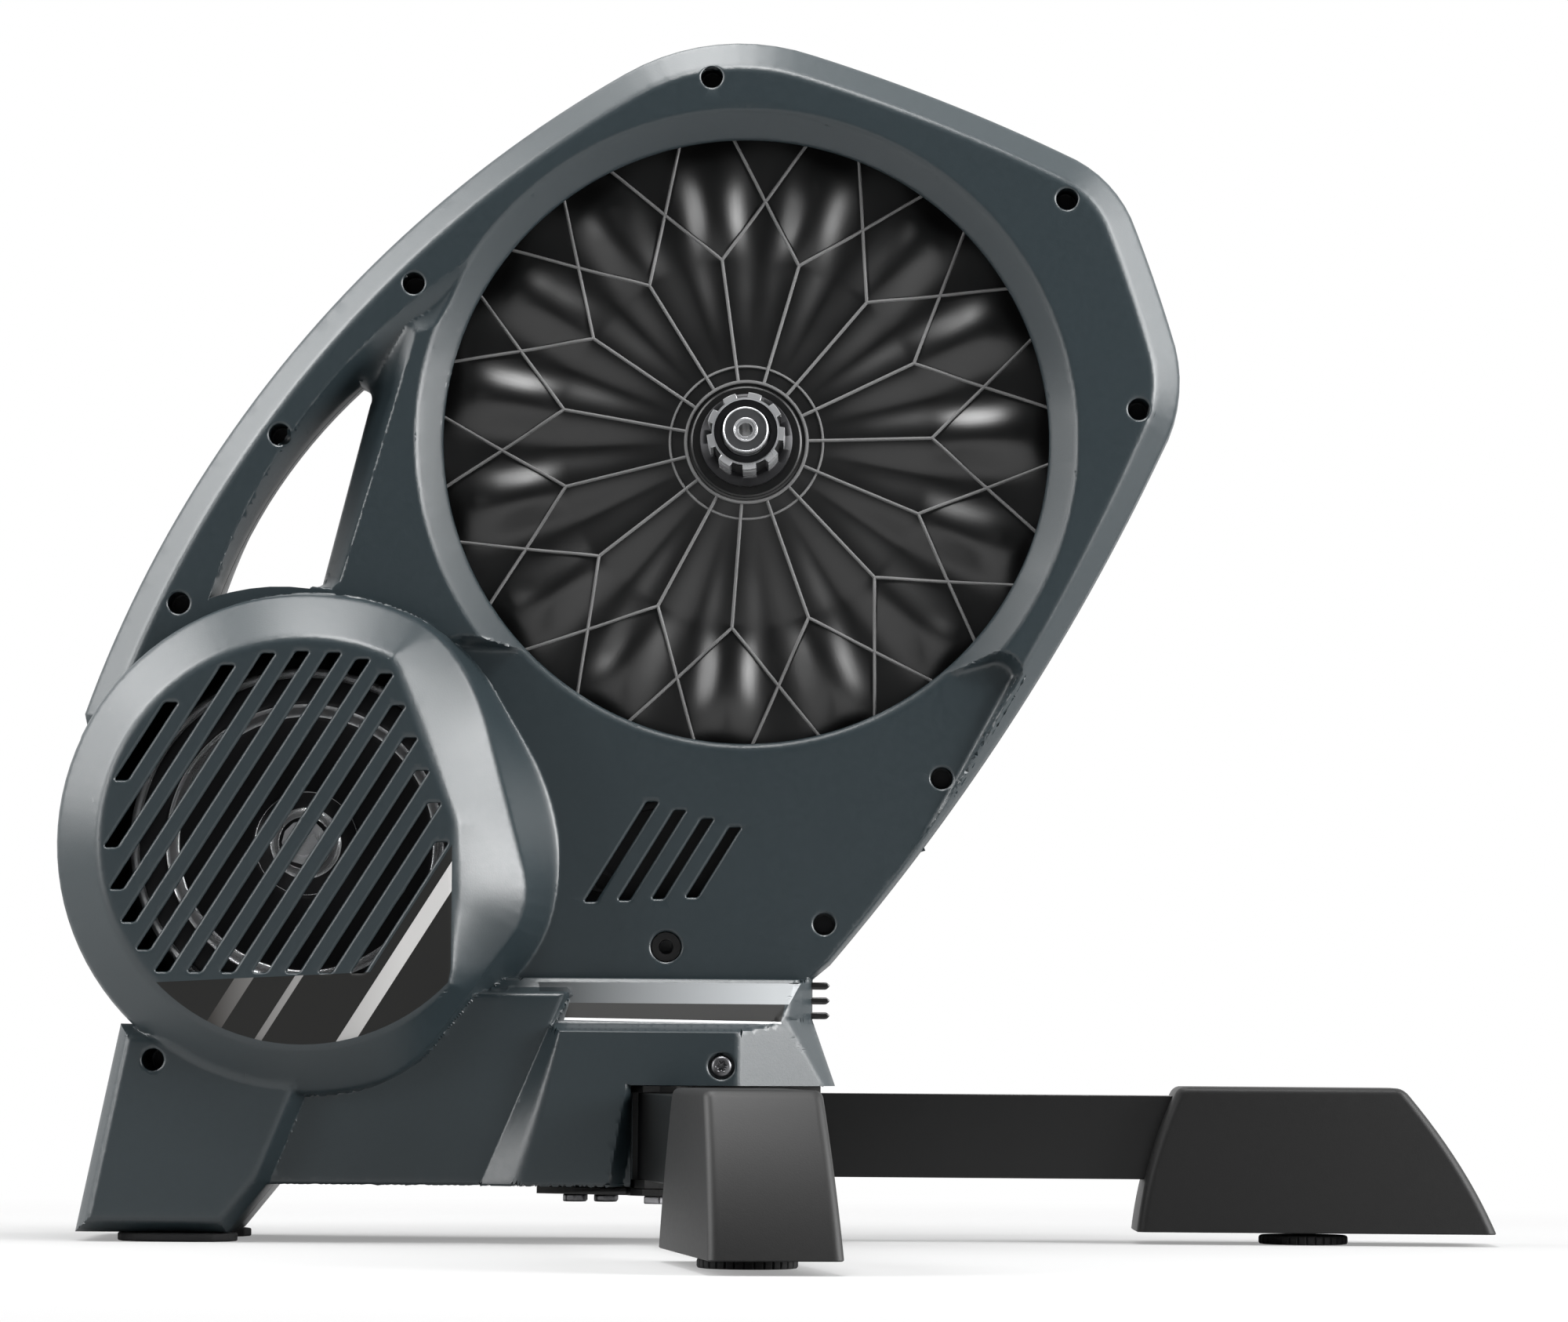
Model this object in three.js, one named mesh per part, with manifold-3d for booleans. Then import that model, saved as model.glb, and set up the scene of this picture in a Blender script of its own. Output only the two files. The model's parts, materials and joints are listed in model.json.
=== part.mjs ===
// Direct drive bike trainer: a stand that takes the place of a bicycle's rear wheel.
// X points to the front of the bicycle, -Y to its drive side, +Z up. Lengths are millimetres.
// Outlines lie in the XZ plane and run clockwise as seen from the drive side.
import * as THREE from 'three';
import { mergeVertices } from 'three/addons/utils/BufferGeometryUtils.js';
import Module from 'manifold-3d';

const wasm = await Module();
wasm.setup();

// Driving dimensions of the whole trainer
const axleHeight = 363;
const flywheelBack = 195;
const flywheelHeight = 178;
const openingRadius = 137.5;
const shellHalfWidth = 34;
const clearance = 0.3;
const overrun = 6;

// Side covers: wall, outline, chamfer and the levels of their faces, measured out from the middle plane
const wall = 3;
const edgeDepth = 20;
const edgeDraft = 1;
const edgeChamfer = 13;
const deckDepth = 24;
const coneDepth = 22;
const coneRadius = 150;
const bulgeRadius = 112;
const bulgeEdgeDepth = 58;
const bulgeFaceDepth = 80;
const leftBulgeEdgeDepth = 40;
const leftBulgeFaceDepth = 52;
const grilleRadius = 91;
const throatFront = 40;
const throatRise = 8;
const windowFloorDepth = 12;
const baseFront = 32;
const baseToe = 43;
const baseRear = 222;
const baseTop = 118;
const baseBottom = 25.5;
const stripDrop = 18;
const baseDepth = 46;
const ribDepth = 49;
const ribTop = 112;
const ribFrontTop = -78;
const ribFrontBottom = -97;
const blockDepth = 58;
const blockTop = 97;
const blockRearTop = -72;
const blockRearBottom = -88;
const blockFaceFront = -1.5;
const blockFacetFront = 27;
const blockStep = 9;
const notchRear = -52;
const notchTop = 71.3;
const footDepth = 62;
const footRootDepth = 50;
const footBevel = 5;
const footRear = -297;
const footFront = -226;
const footBottom = 4;
const footTop = 97;
const footWaist = 80;

// Grille slots, deck vents, and holes in the covers
const slotCount = 12;
const slotPitch = 14.5;
const slotWidth = 5;
const slotLean = THREE.MathUtils.degToRad(57.8);
const slotMargin = 3.4;
const slotFloor = -58;
const ventCount = 4;
const ventWidth = 4.5;
const ventPitch = 13.9;
const ventDrop = 1.5;
const ventFirst = -55;
const ventLean = THREE.MathUtils.degToRad(58.5);
const screwHoleRadius = 5;
const bossRadius = 8;
const bossFloorDepth = 12;
const screwCoreRadius = 2;
const plugHoleRadius = 7;
const plugHoleX = -34.4;
const axlePortRadius = 26;
const footScrewX = -262;
const footScrewZ = 81;
const baseScrewX = -8.6;
const baseScrewZ = 80;
const baseScrewHoleRadius = 6;

// Hub: axle, bearings, end caps and freehub, placed along Y
const axleRadius = 8.5;
const axleDriveEnd = 73;
const axleLeftEnd = 52;
const capRadius = 10.2;
const capDriveEnd = 80;
const capLeftEnd = 62;
const capFlangeRadius = 14;
const bearingOuterRadius = 15;
const bearingWidth = 6;
const driveBearingDepth = 15;
const leftBearingDepth = 3.4;
const freehubRadius = 15.4;
const splineRadius = 17.5;
const splineCount = 9;
const freehubBack = 23;
const freehubEnd = 72;
const freehubCollar = 21;
const freehubCollarWidth = 6;
const freehubBore = 11;

// Driven pulley with its ribbed web, and the belt
const pulleyLap = 12.5;
const pulleyRadius = openingRadius + pulleyLap;
const pulleyFront = 17.5;
const pulleyBack = 2.5;
const rimThickness = 7;
const webBack = 5;
const webFront = 9;
const hubFront = 21;
const hubRadius = 27.7;
const lobeCount = 15;
const lobeHeight = 5;
const kinkRadius = 84.6;
const ribWidth = 1.6;
const ribHeight = 1.2;
const beltWidth = 12;
const beltThickness = 2.4;
const beltDepth = 4;
const smallPulleyRadius = 15;

// Flywheel, its shaft and bearings
const flywheelRadius = 78;
const flywheelRim = 17;
const flywheelBackDepth = 40;
const flywheelFrontDepth = 68;
const flywheelWebDepth = 48;
const flywheelWeb = 8;
const flywheelHub = 22;
const shaftRadius = 6;
const shaftFrontDepth = 74;
const shaftLeftEnd = 18;
const shaftNutRadius = 10;
const shaftNutDepth = 70;
const shaftBearingRadius = 14;

// Frame inside the covers
const plateNear = 3;
const plateThickness = 6;
const plateBossRadius = 22;
const plateBossEnd = 20;
const plateFlange = 5;
const beamHalfWidth = 14;
const beamBottom = 30;
const beamTop = 64;
const beamReach = 270;
const beamFront = 26;
const beamWall = 2.5;
const bridgeDepth = 26;
const bridgeReach = 34;
const standoffRadius = 5;

// Folding legs, their bracket, pivots, feet and pads
const pivotX = -36;
const pivotY = 40;
const legReach = 295;
const openAngle = THREE.MathUtils.degToRad(82);
const tubeBottom = 29.3;
const tubeHeight = 38.4;
const tubeWidth = 20;
const tubeWall = 2;
const tubePastPad = 30;
const tubeEnd = legReach + tubePastPad;
const pivotRadius = 5;
const pivotPlateRadius = 15;
const bracketThickness = 3;
const bracketFront = 36;
const bracketRear = -92;
const webHalfWidth = 14.4;
const boltHeadRadius = 8;
const boltHeadHeight = 3.4;
const nutHeight = 6;
const bushRadius = 13;
const heelLow = 78;
const heelHigh = 59;
const toeLow = 86.7;
const toeHigh = 44;
const capBottom = 4.6;
const capTop = 72;
const capHalfWidthBottom = 27.4;
const capHalfWidthTop = 24.4;
const padRadius = 20.5;
const padStemRadius = 6;
const rearPadX = -252;
const rearPadY = 38;
const rearPadLength = 54;
const rearPadWidth = 38;

// Belt tensioner, brake and electronics
const idlerRadius = 13;
const magnetOrbit = 60;
const magnetRadius = 9;
const magnetThickness = 4;
const carrierThickness = 3;
const carrierInner = 46;
const carrierOuter = 74;
const carrierDepth = 31;
const carrierStart = THREE.MathUtils.degToRad(95);
const carrierSweep = THREE.MathUtils.degToRad(110);
const motorRadius = 12;
const motorLength = 14;
const screwShaftRadius = 3;
const boardLength = 92;
const boardHeight = 56;
const boardThickness = 1.6;
const boardX = -30;
const boardZ = 158;
const jackLength = 15;
const jackRecess = 4;
const sleeveWall = 2.5;
const louvreRear = 27;
const louvreFront = 40;
const louvreHalfWidth = 20;
const louvreBottom = 101.5;
const louvreTop = 118;
const finThickness = 3;
const finCount = 3;

// Screws that hold the covers together
const screwHeadRadius = 4.2;
const screwHeadHeight = 3;
const screwLength = 20;
const screwShankRadius = 1.7;

// How far joined pieces reach into each other
const bite = 1;

// Small sizes and angles of the inner pieces
const axleBore = 3.3;
const axleTipRadius = 5.5;
const axleDriveTip = 79;
const axleLeftTip = 61;
const axleShoulderRadius = 11;
const splineRelief = 2;
const webHub = 17;
const hubBevel = 2;
const lobeStart = THREE.MathUtils.degToRad(-94);
const flywheelHubSet = 2;
const flangeThickness = 1.4;
const standoffAngles = [150, 270, 20];
const guideAngles = [118, 184];
const motorAngle = 150;
const magnetAngles = [102, 134, 167, 201];
const guideRadius = 3;
const plateMargin = 6;
const plateFront = 14;
const boardStand = 4;
const boardStandRadius = 3;
const nutRoomRadius = 11;
const bracketBoltRadius = 3.5;
const bracketBoltHead = 5.5;
const bracketBoltFront = -61;
const bracketBoltRear = -75;
const bracketBoltSide = 9;
const bracketBoltPlaces = [
  { name: 'front_drive', x: bracketBoltFront, y: -bracketBoltSide },
  { name: 'front_left', x: bracketBoltFront, y: bracketBoltSide },
  { name: 'rear_drive', x: bracketBoltRear, y: -bracketBoltSide },
  { name: 'rear_left', x: bracketBoltRear, y: bracketBoltSide },
];
const idlerBore = 5;
const idlerBolt = 3.5;
const idlerBoltHead = 6;
const armReach = 24;
const armDrop = 8;
const jackBore = 3.4;

// Numbers of steps in round shapes: shown ones are finer than hidden ones
const roundSteps = 12;
const shownSteps = 24;
const bulgeSteps = 28;
const holeSteps = 8;
const pinSteps = 12;
const bossSteps = 6;
const coreSteps = 4;
const slotEndSteps = 2;
const plateEndSteps = 6;
const plateBowSteps = 3;
const ribBowSteps = 3;
const beltSteps = 40;
const smallBeltSteps = 6;
const carrierSteps = 8;
const stepsPerLobe = 3;
const hexSides = 6;
const chipSides = 4;

// Shapes given in shares of the sizes that they follow
// Silhouette of the covers round the driven pulley, in shares of the opening's radius from the axle.
const crownShares = [
  { place: [-0.415, 1.229], bowShare: 0.108, steps: 6 },
  { place: [0.218, 1.295], bowShare: 0.0185, steps: 2 },
  { place: [1.091, 0.953], bowShare: 0.095, steps: 4 },
  { place: [1.292, 0.717], bowShare: 0.01, steps: 1 },
  { place: [1.425, 0.327], bowShare: 0.095, steps: 4 },
  { place: [1.382, -0.015], bowShare: 0.033, steps: 5, chamferShare: 0.85 },
];
const shoulderShare = [-0.9375, 0.527];
const backBowShare = 0.0898;
const throatChamferShare = 0.3;
// Handle window: its inner edge runs beside the belt, its outer edge beside the silhouette.
const windowShares = [
  { place: [-1.28, 0.182], bowShare: 0.25, steps: 3 },
  { place: [-1.249, 0.118], bowShare: 0, steps: 1 },
  { place: [-1.399, -0.48], bowShare: 0, steps: 1 },
  { place: [-1.43, -0.505], bowShare: -0.06, steps: 3 },
  { place: [-1.753, -0.538], bowShare: 0.06, steps: 5 },
];
const windowMouthShares = [
  { place: [-0.93, 0.575], bowShare: 0.2, steps: 3 },
  { place: [-1.09, 0.345], bowShare: 0, steps: 1 },
  { place: [-1.33, -0.48], bowShare: 0, steps: 1 },
  { place: [-1.36, -0.505], bowShare: -0.06, steps: 3 },
  { place: [-1.76, -0.538], bowShare: 0.085, steps: 5 },
];

// Lower deck between the opening, the flywheel's bulge and the base.
const deckCrownShares = [
  { place: [-0.93, -0.69], bowShare: 0, steps: 1 },
  { place: [0.7, -0.76], bowShare: 0, steps: 1 },
  { place: [0.82, -0.725], bowShare: 0.2, steps: 3 },
  { place: [0.885, -0.77], bowShare: 0, steps: 1 },
  { place: [0.73, -1.06], bowShare: 0.02, steps: 3 },
];
const deckRearShare = 0.82;

// Flat facets of the flywheel's bulge and of its grille: the direction each faces, and how far out it lies.
const bulgeFacetShares = [
  { facing: THREE.MathUtils.degToRad(4), distanceShare: 0.92 },
  { facing: THREE.MathUtils.degToRad(39), distanceShare: 0.952 },
  { facing: THREE.MathUtils.degToRad(-48.5), distanceShare: 0.896 },
];
const grilleFacetShares = [
  { facing: THREE.MathUtils.degToRad(0), distanceShare: 0.742 },
  { facing: THREE.MathUtils.degToRad(21), distanceShare: 0.731 },
];

// Rear foot, from its rear lower corner, in shares of its length and height.
const footShares = [
  { place: [0.27, 1], bowShare: 0 },
  { place: [1.58, 0.93], bowShare: 0 },
  { place: [1.21, 0.235], bowShare: 0 },
  { place: [0.96, 0], bowShare: 0 },
  { place: [0, 0], bowShare: 0 },
];

// Screws near the edge of the covers.
const borderScrewShares = [
  { name: 'top', place: [-0.123, 1.2] },
  { name: 'front_upper', place: [1.052, 0.804] },
  { name: 'front_middle', place: [1.292, 0.11] },
  { name: 'rear_upper', place: [-1.1, 0.508] },
  { name: 'rear_middle', place: [-1.535, 0.004] },
  { name: 'rear_lower', place: [-1.86, -0.554] },
];
// Screws beside the long front edge: how far along its chord they are, and how far to its left.
const frontScrewShares = [
  { name: 'front_lower', alongShare: 0.352, leftShare: 0.0133 },
  { name: 'throat', alongShare: 0.0495, leftShare: 0.0445 },
];

// Plate of the frame: its top round the axle, its lobe behind the flywheel, and holes that lighten it.
const plateShares = [
  { place: [-0.3, 0.18], bowShare: 0.2 },
  { place: [0, 0.33], bowShare: 0.2 },
  { place: [0.3, 0.1], bowShare: 0.05 },
];
const lobeShares = { lowRear: [-0.87, -0.5], highFront: [-0.17, 1], bow: 0.15, steps: 6 };
const lighteningShares = [
  { place: [-0.05, -0.72], radiusShare: 0.2 },
  { place: [-0.42, -0.98], radiusShare: 0.16 },
  { place: [-0.5, -0.45], radiusShare: 0.15 },
];

// Places along a line or across a pattern
const slotCentreShare = 0.646;
const plugRiseShare = 0.1442;
const ventMiddleShare = 0.5414;
const ventLengthShare = 0.4651;
const ventShrinkShare = 0.106;
const rimShare = 0.82;
const lobeRingShares = [0.2, 0.55];
const idlerShare = 0.56;
const ribBowShare = 0.02;
const footEndBowShare = 0.05;
const footInnerBowShare = 0.05;
const chipShare = 0.2;

const finish = {
  slate: { color: 0x3d494e, roughness: 0.55, metalness: 0 },
  footPlastic: { color: 0x2f3032, roughness: 0.55, metalness: 0 },
  blackGloss: { color: 0x0d0d0e, roughness: 0.3, metalness: 0 },
  blackPaint: { color: 0x101012, roughness: 0.35, metalness: 0.3 },
  steel: { color: 0xb4b7ba, roughness: 0.3, metalness: 1 },
  darkSteel: { color: 0x3a3c3f, roughness: 0.4, metalness: 0.9 },
  rubber: { color: 0x151617, roughness: 0.85, metalness: 0 },
  board: { color: 0x1d4a2c, roughness: 0.6, metalness: 0 },
};

const trainer = new THREE.Group();

// Adds one named piece to the trainer, or to the group that carries it.
function addPiece(name, solid, finishName, parent = trainer) {
  const material = new THREE.MeshStandardMaterial(finish[finishName]);
  const mesh = new THREE.Mesh(geometryFromSolid(solid), material);
  mesh.name = name;
  parent.add(mesh);
}

// Closed triangles become a solid; they are turned round if they face inwards.
function solidFromTriangles(positions, triangles) {
  let sixVolumes = 0;
  const a = new THREE.Vector3();
  const b = new THREE.Vector3();
  const c = new THREE.Vector3();
  for (let i = 0; i < triangles.length; i += 3) {
    a.fromArray(positions, 3 * triangles[i]);
    b.fromArray(positions, 3 * triangles[i + 1]);
    c.fromArray(positions, 3 * triangles[i + 2]);
    sixVolumes += a.dot(b.cross(c));
  }
  const facing = sixVolumes > 0 ? triangles : [...triangles].reverse();
  return new wasm.Manifold(new wasm.Mesh({
    numProp: 3,
    vertProperties: Float32Array.from(positions),
    triVerts: Uint32Array.from(facing),
  }));
}

function solidFromGeometry(geometry) {
  const bare = geometry.index ? geometry.toNonIndexed() : geometry.clone();
  bare.deleteAttribute('normal');
  bare.deleteAttribute('uv');
  const merged = mergeVertices(bare);
  const kept = [];
  const index = merged.index.array;
  for (let i = 0; i < index.length; i += 3) {
    const [p, q, r] = [index[i], index[i + 1], index[i + 2]];
    if (p !== q && q !== r && r !== p) kept.push(p, q, r);
  }
  return solidFromTriangles(Array.from(merged.attributes.position.array), kept);
}

function geometryFromSolid(solid) {
  const mesh = solid.getMesh();
  const geometry = new THREE.BufferGeometry();
  geometry.setAttribute('position', new THREE.BufferAttribute(mesh.vertProperties, 3));
  geometry.setIndex(new THREE.BufferAttribute(mesh.triVerts, 1));
  geometry.computeVertexNormals();
  return geometry;
}

function union(solids) {
  return solids.reduce((whole, next) => whole.add(next));
}

function cutAll(solid, cutters) {
  return cutters.reduce((rest, cutter) => rest.subtract(cutter), solid);
}

// A chain of arcs: each stop is [x, z, bow, steps, chamfer], where bow is the arc's rise as a share
// of its chord on the way to the next stop, and chamfer scales how far an inset moves the edge.
function arcChain(stops) {
  const points = [];
  stops.forEach(([x, z, bow = 0, steps = 1, chamfer = 1], i) => {
    const [nextX, nextZ, , , nextChamfer = 1] = stops[(i + 1) % stops.length];
    const along = new THREE.Vector2(nextX - x, nextZ - z);
    const chord = along.length();
    along.normalize();
    const half = chord / 2;
    const rise = bow * chord;
    for (let k = 0; k < steps; k += 1) {
      const share = k / steps;
      let run = chord * share;
      let lift = 0;
      if (bow !== 0) {
        const radius = (half * half + rise * rise) / (2 * rise);
        const sweep = Math.asin(half / radius);
        const turn = (2 * share - 1) * sweep;
        run = half + radius * Math.sin(turn);
        lift = radius * Math.cos(turn) - (radius - rise);
      }
      points.push({
        x: x + along.x * run - along.y * lift,
        z: z + along.y * run + along.x * lift,
        chamfer: chamfer + (nextChamfer - chamfer) * share,
      });
    }
  });
  return points;
}

// Moves each edge of a clockwise outline inwards; a negative distance makes the outline larger.
function inset(outline, distance) {
  return outline.map((point, i) => {
    const before = outline[(i + outline.length - 1) % outline.length];
    const after = outline[(i + 1) % outline.length];
    const first = new THREE.Vector2(point.z - before.z, before.x - point.x).normalize();
    const second = new THREE.Vector2(after.z - point.z, point.x - after.x).normalize();
    const reach = (distance * point.chamfer) / (1 + first.dot(second));
    return {
      x: point.x + (first.x + second.x) * reach,
      z: point.z + (first.y + second.y) * reach,
      chamfer: point.chamfer,
    };
  });
}

// The same inset for every point, as a wall's thickness needs.
function insetEven(outline, distance) {
  const even = inset(outline.map((point) => ({ ...point, chamfer: 1 })), distance);
  return even.map((point, i) => ({ ...point, chamfer: outline[i].chamfer }));
}

// A solid through outlines of equal point counts, each at its own distance from the middle plane.
function loft(sections) {
  const count = sections[0].outline.length;
  const positions = [];
  const triangles = [];
  for (const { outline, depth } of sections) {
    for (const point of outline) positions.push(point.x, -depth, point.z);
  }
  for (let s = 0; s + 1 < sections.length; s += 1) {
    for (let i = 0; i < count; i += 1) {
      const j = (i + 1) % count;
      const [p, q] = [s * count + i, s * count + j];
      triangles.push(p, q, p + count, q, q + count, p + count);
    }
  }
  const firstCap = THREE.ShapeUtils.triangulateShape(sections[0].outline.map(flat), []);
  const lastCap = THREE.ShapeUtils.triangulateShape(sections.at(-1).outline.map(flat), []);
  const last = (sections.length - 1) * count;
  const sign = capSign(sections[0].outline, firstCap);
  const lastSign = capSign(sections.at(-1).outline, lastCap);
  for (const [a, b, c] of firstCap) triangles.push(...(sign > 0 ? [c, b, a] : [a, b, c]));
  for (const [a, b, c] of lastCap) {
    const turned = lastSign > 0 ? [a, b, c] : [c, b, a];
    triangles.push(...turned.map((k) => last + k));
  }
  return solidFromTriangles(positions, triangles);
}

function flat(point) {
  return new THREE.Vector2(point.x, point.z);
}

// Which way round the triangles of a cap run: the outline itself is clockwise.
function capSign(outline, triangles) {
  let doubleArea = 0;
  for (const [a, b, c] of triangles) {
    const [p, q, r] = [outline[a], outline[b], outline[c]];
    doubleArea += (q.x - p.x) * (r.z - p.z) - (r.x - p.x) * (q.z - p.z);
  }
  return doubleArea > 0 ? -1 : 1;
}

function prism(outline, nearDepth, farDepth) {
  return loft([{ outline, depth: nearDepth }, { outline, depth: farDepth }]);
}

// One point of an outline, on a circle round a centre.
function outlinePoint(centre, radius, angle) {
  return { x: centre.x + radius * Math.cos(angle), z: centre.z + radius * Math.sin(angle), chamfer: 1 };
}

function circleOutline(centre, radius, steps = roundSteps) {
  const points = [];
  for (let i = 0; i < steps; i += 1) {
    const turn = (-2 * Math.PI * i) / steps;
    points.push(outlinePoint(centre, radius, turn));
  }
  return points;
}

// A slot with rounded ends between two points of the XZ plane.
function slotOutline(from, to, width, steps = slotEndSteps) {
  const along = new THREE.Vector2(to.x - from.x, to.z - from.z).normalize();
  const half = width / 2;
  const startTurn = Math.atan2(along.y, along.x) + Math.PI / 2;
  const points = [];
  for (const [centre, first] of [[to, startTurn], [from, startTurn - Math.PI]]) {
    for (let k = 0; k <= steps; k += 1) {
      const turn = first - (Math.PI * k) / steps;
      points.push(outlinePoint(centre, half, turn));
    }
  }
  return points;
}

const axle = { x: 0, z: axleHeight };
const flywheelCentre = { x: -flywheelBack, z: flywheelHeight };
// Height of the deck between the base and the opening; its vents and its plug hole follow it.
const deckHeight = axleHeight - openingRadius - baseTop;
const plugHole = { x: plugHoleX, z: baseTop + deckHeight * plugRiseShare };

// Turns a place given in shares of a radius round a centre into millimetres.
function around(centre, radius, [xShare, zShare]) {
  return [centre.x + radius * xShare, centre.z + radius * zShare];
}

function silhouette() {
  const crown = crownShares.map(({ place, bowShare, steps, chamferShare = 1 }) => (
    [...around(axle, openingRadius, place), bowShare, steps, chamferShare]));
  const shoulder = around(flywheelCentre, bulgeRadius, shoulderShare);
  return arcChain([
    ...crown,
    [throatFront, baseTop + throatRise, 0, 1, throatChamferShare],
    [baseFront, baseTop, 0, 1, throatChamferShare],
    [baseFront, notchTop + wall + edgeChamfer, 0, 1, throatChamferShare],
    [flywheelCentre.x, footWaist, 0, 1, throatChamferShare],
    [shoulder[0] + edgeChamfer, flywheelHeight, 0, 1, 1],
    [...shoulder, backBowShare, 10, 1],
  ]);
}

function axleOutline(shares) {
  return arcChain(shares.map(({ place, bowShare, steps }) => (
    [...around(axle, openingRadius, place), bowShare, steps])));
}

function deckOutline() {
  const crown = deckCrownShares.map(({ place, bowShare, steps }) => (
    [...around(axle, openingRadius, place), bowShare, steps]));
  return arcChain([
    ...crown,
    [baseFront + wall, baseTop + throatRise / 2, 0, 1],
    [flywheelCentre.x + wall, baseTop + throatRise / 2, 0, 1],
    [flywheelCentre.x + wall, axleHeight - openingRadius * deckRearShare, 0, 1],
  ]);
}

// A circle with flat facets: each facet is the direction it faces and its distance as a share.
function facetedCircle(centre, radius, facetShares, steps) {
  const points = [];
  for (let i = 0; i < steps; i += 1) {
    const turn = (-2 * Math.PI * i) / steps;
    let reach = radius;
    for (const { facing, distanceShare } of facetShares) {
      const lean = Math.cos(turn - facing);
      if (lean > 0) reach = Math.min(reach, (radius * distanceShare) / lean);
    }
    points.push(outlinePoint(centre, reach, turn));
  }
  return points;
}

const bulgeOutline = facetedCircle(flywheelCentre, bulgeRadius, bulgeFacetShares, bulgeSteps);
const grilleOutline = facetedCircle(flywheelCentre, grilleRadius, grilleFacetShares, bulgeSteps);

// The next functions give one form of a cover: skin 0 is the outside, skin wall the inside.
function upperBody(skin) {
  const outline = silhouette();
  const start = skin > 0 ? -overrun : clearance / 2;
  return loft([
    { outline: insetEven(outline, skin), depth: start },
    { outline: insetEven(outline, skin + edgeDraft), depth: edgeDepth },
    { outline: inset(insetEven(outline, skin + edgeDraft), edgeChamfer), depth: shellHalfWidth - skin },
  ]);
}

function windowCut(skin) {
  const opening = insetEven(axleOutline(windowShares), -skin);
  const mouth = insetEven(axleOutline(windowMouthShares), -skin);
  return loft([
    { outline: opening, depth: -overrun },
    { outline: opening, depth: windowFloorDepth },
    { outline: mouth, depth: shellHalfWidth },
    { outline: mouth, depth: shellHalfWidth + overrun },
  ]);
}

function coneCut(skin) {
  const lip = circleOutline(axle, openingRadius + skin, bulgeSteps);
  const mouth = circleOutline(axle, coneRadius + skin, bulgeSteps);
  return loft([
    { outline: lip, depth: coneDepth - skin },
    { outline: mouth, depth: shellHalfWidth },
    { outline: mouth, depth: shellHalfWidth + overrun },
  ]);
}

function deckCut(skin) {
  const floor = insetEven(deckOutline(), -skin);
  const mouth = insetEven(deckOutline(), -skin - throatRise / 2);
  return loft([
    { outline: floor, depth: deckDepth - skin },
    { outline: mouth, depth: shellHalfWidth },
    { outline: mouth, depth: shellHalfWidth + overrun },
  ]);
}

function bulge(skin, rimDepth, faceDepth) {
  const start = skin > 0 ? -overrun : clearance / 2;
  const side = insetEven(bulgeOutline, skin);
  return loft([
    { outline: side, depth: start },
    { outline: side, depth: rimDepth },
    { outline: insetEven(grilleOutline, skin), depth: faceDepth - skin },
  ]);
}

function baseBody(skin) {
  const start = skin > 0 ? -overrun : clearance / 2;
  const low = baseBottom + skin;
  const rear = -baseRear + skin;
  const outline = (top) => arcChain([
    [rear, top - skin],
    [baseFront - skin, top - skin],
    [baseFront - skin, notchTop + stripDrop],
    [baseToe - skin, notchTop],
    [baseToe - skin, low],
    [rear, low],
  ]);
  return loft([
    { outline: outline(baseTop), depth: start },
    { outline: outline(baseTop), depth: shellHalfWidth - skin },
    { outline: outline(baseTop - stripDrop), depth: baseDepth - skin },
  ]);
}

function baseRib(skin) {
  const outline = (grow) => arcChain([
    [-baseRear + skin - grow, ribTop - skin + grow],
    [ribFrontTop - skin + grow, ribTop - skin + grow, ribBowShare, ribBowSteps],
    [ribFrontBottom - skin + grow, baseBottom + skin],
    [-baseRear + skin - grow, baseBottom + skin],
  ]);
  return loft([
    { outline: outline(wall), depth: shellHalfWidth - skin },
    { outline: outline(0), depth: ribDepth - skin },
  ]);
}

function baseBlock(skin) {
  const outline = (spread, facet) => arcChain([
    [blockRearTop + skin - spread, blockTop - skin + spread / 2, 0, 1],
    [facet - skin, blockTop - skin + spread / 2, 0, 1],
    [facet - skin, baseBottom + skin, 0, 1],
    [blockRearBottom + skin - spread, baseBottom + skin, ribBowShare, ribBowSteps],
  ]);
  return loft([
    { outline: outline(blockStep, blockFacetFront), depth: baseDepth - skin - overrun },
    { outline: outline(blockStep, blockFacetFront), depth: baseDepth - skin },
    { outline: outline(0, blockFaceFront), depth: blockDepth - skin },
  ]);
}

function rearFoot(skin) {
  const start = skin > 0 ? -overrun : clearance / 2;
  const outline = arcChain(footShares.map(({ place: [xShare, zShare], bowShare }) => [
    footRear + (footFront - footRear) * xShare,
    footBottom + (footTop - footBottom) * zShare,
    bowShare,
  ]));
  return loft([
    { outline: insetEven(outline, skin), depth: start },
    { outline: insetEven(outline, skin), depth: footRootDepth },
    { outline: insetEven(outline, skin + footBevel), depth: footDepth - skin },
  ]);
}

// Room for the legs: the base is open below this ceiling, from the notch's rear to the front.
function legNotch(skin) {
  const rear = notchRear - skin;
  const top = notchTop + skin;
  const far = baseToe + overrun;
  const low = baseBottom - overrun;
  const outline = arcChain([[rear, top], [far, top], [far, low], [rear, low]]);
  return prism(outline, -overrun, blockDepth + overrun);
}

function louvreSlot() {
  const rear = louvreRear - clearance;
  const far = baseToe + overrun;
  const outline = arcChain([
    [rear, louvreTop + clearance],
    [far, louvreTop + clearance],
    [far, louvreBottom - clearance],
    [rear, louvreBottom - clearance],
  ]);
  return prism(outline, -overrun, louvreHalfWidth + clearance);
}

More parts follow.
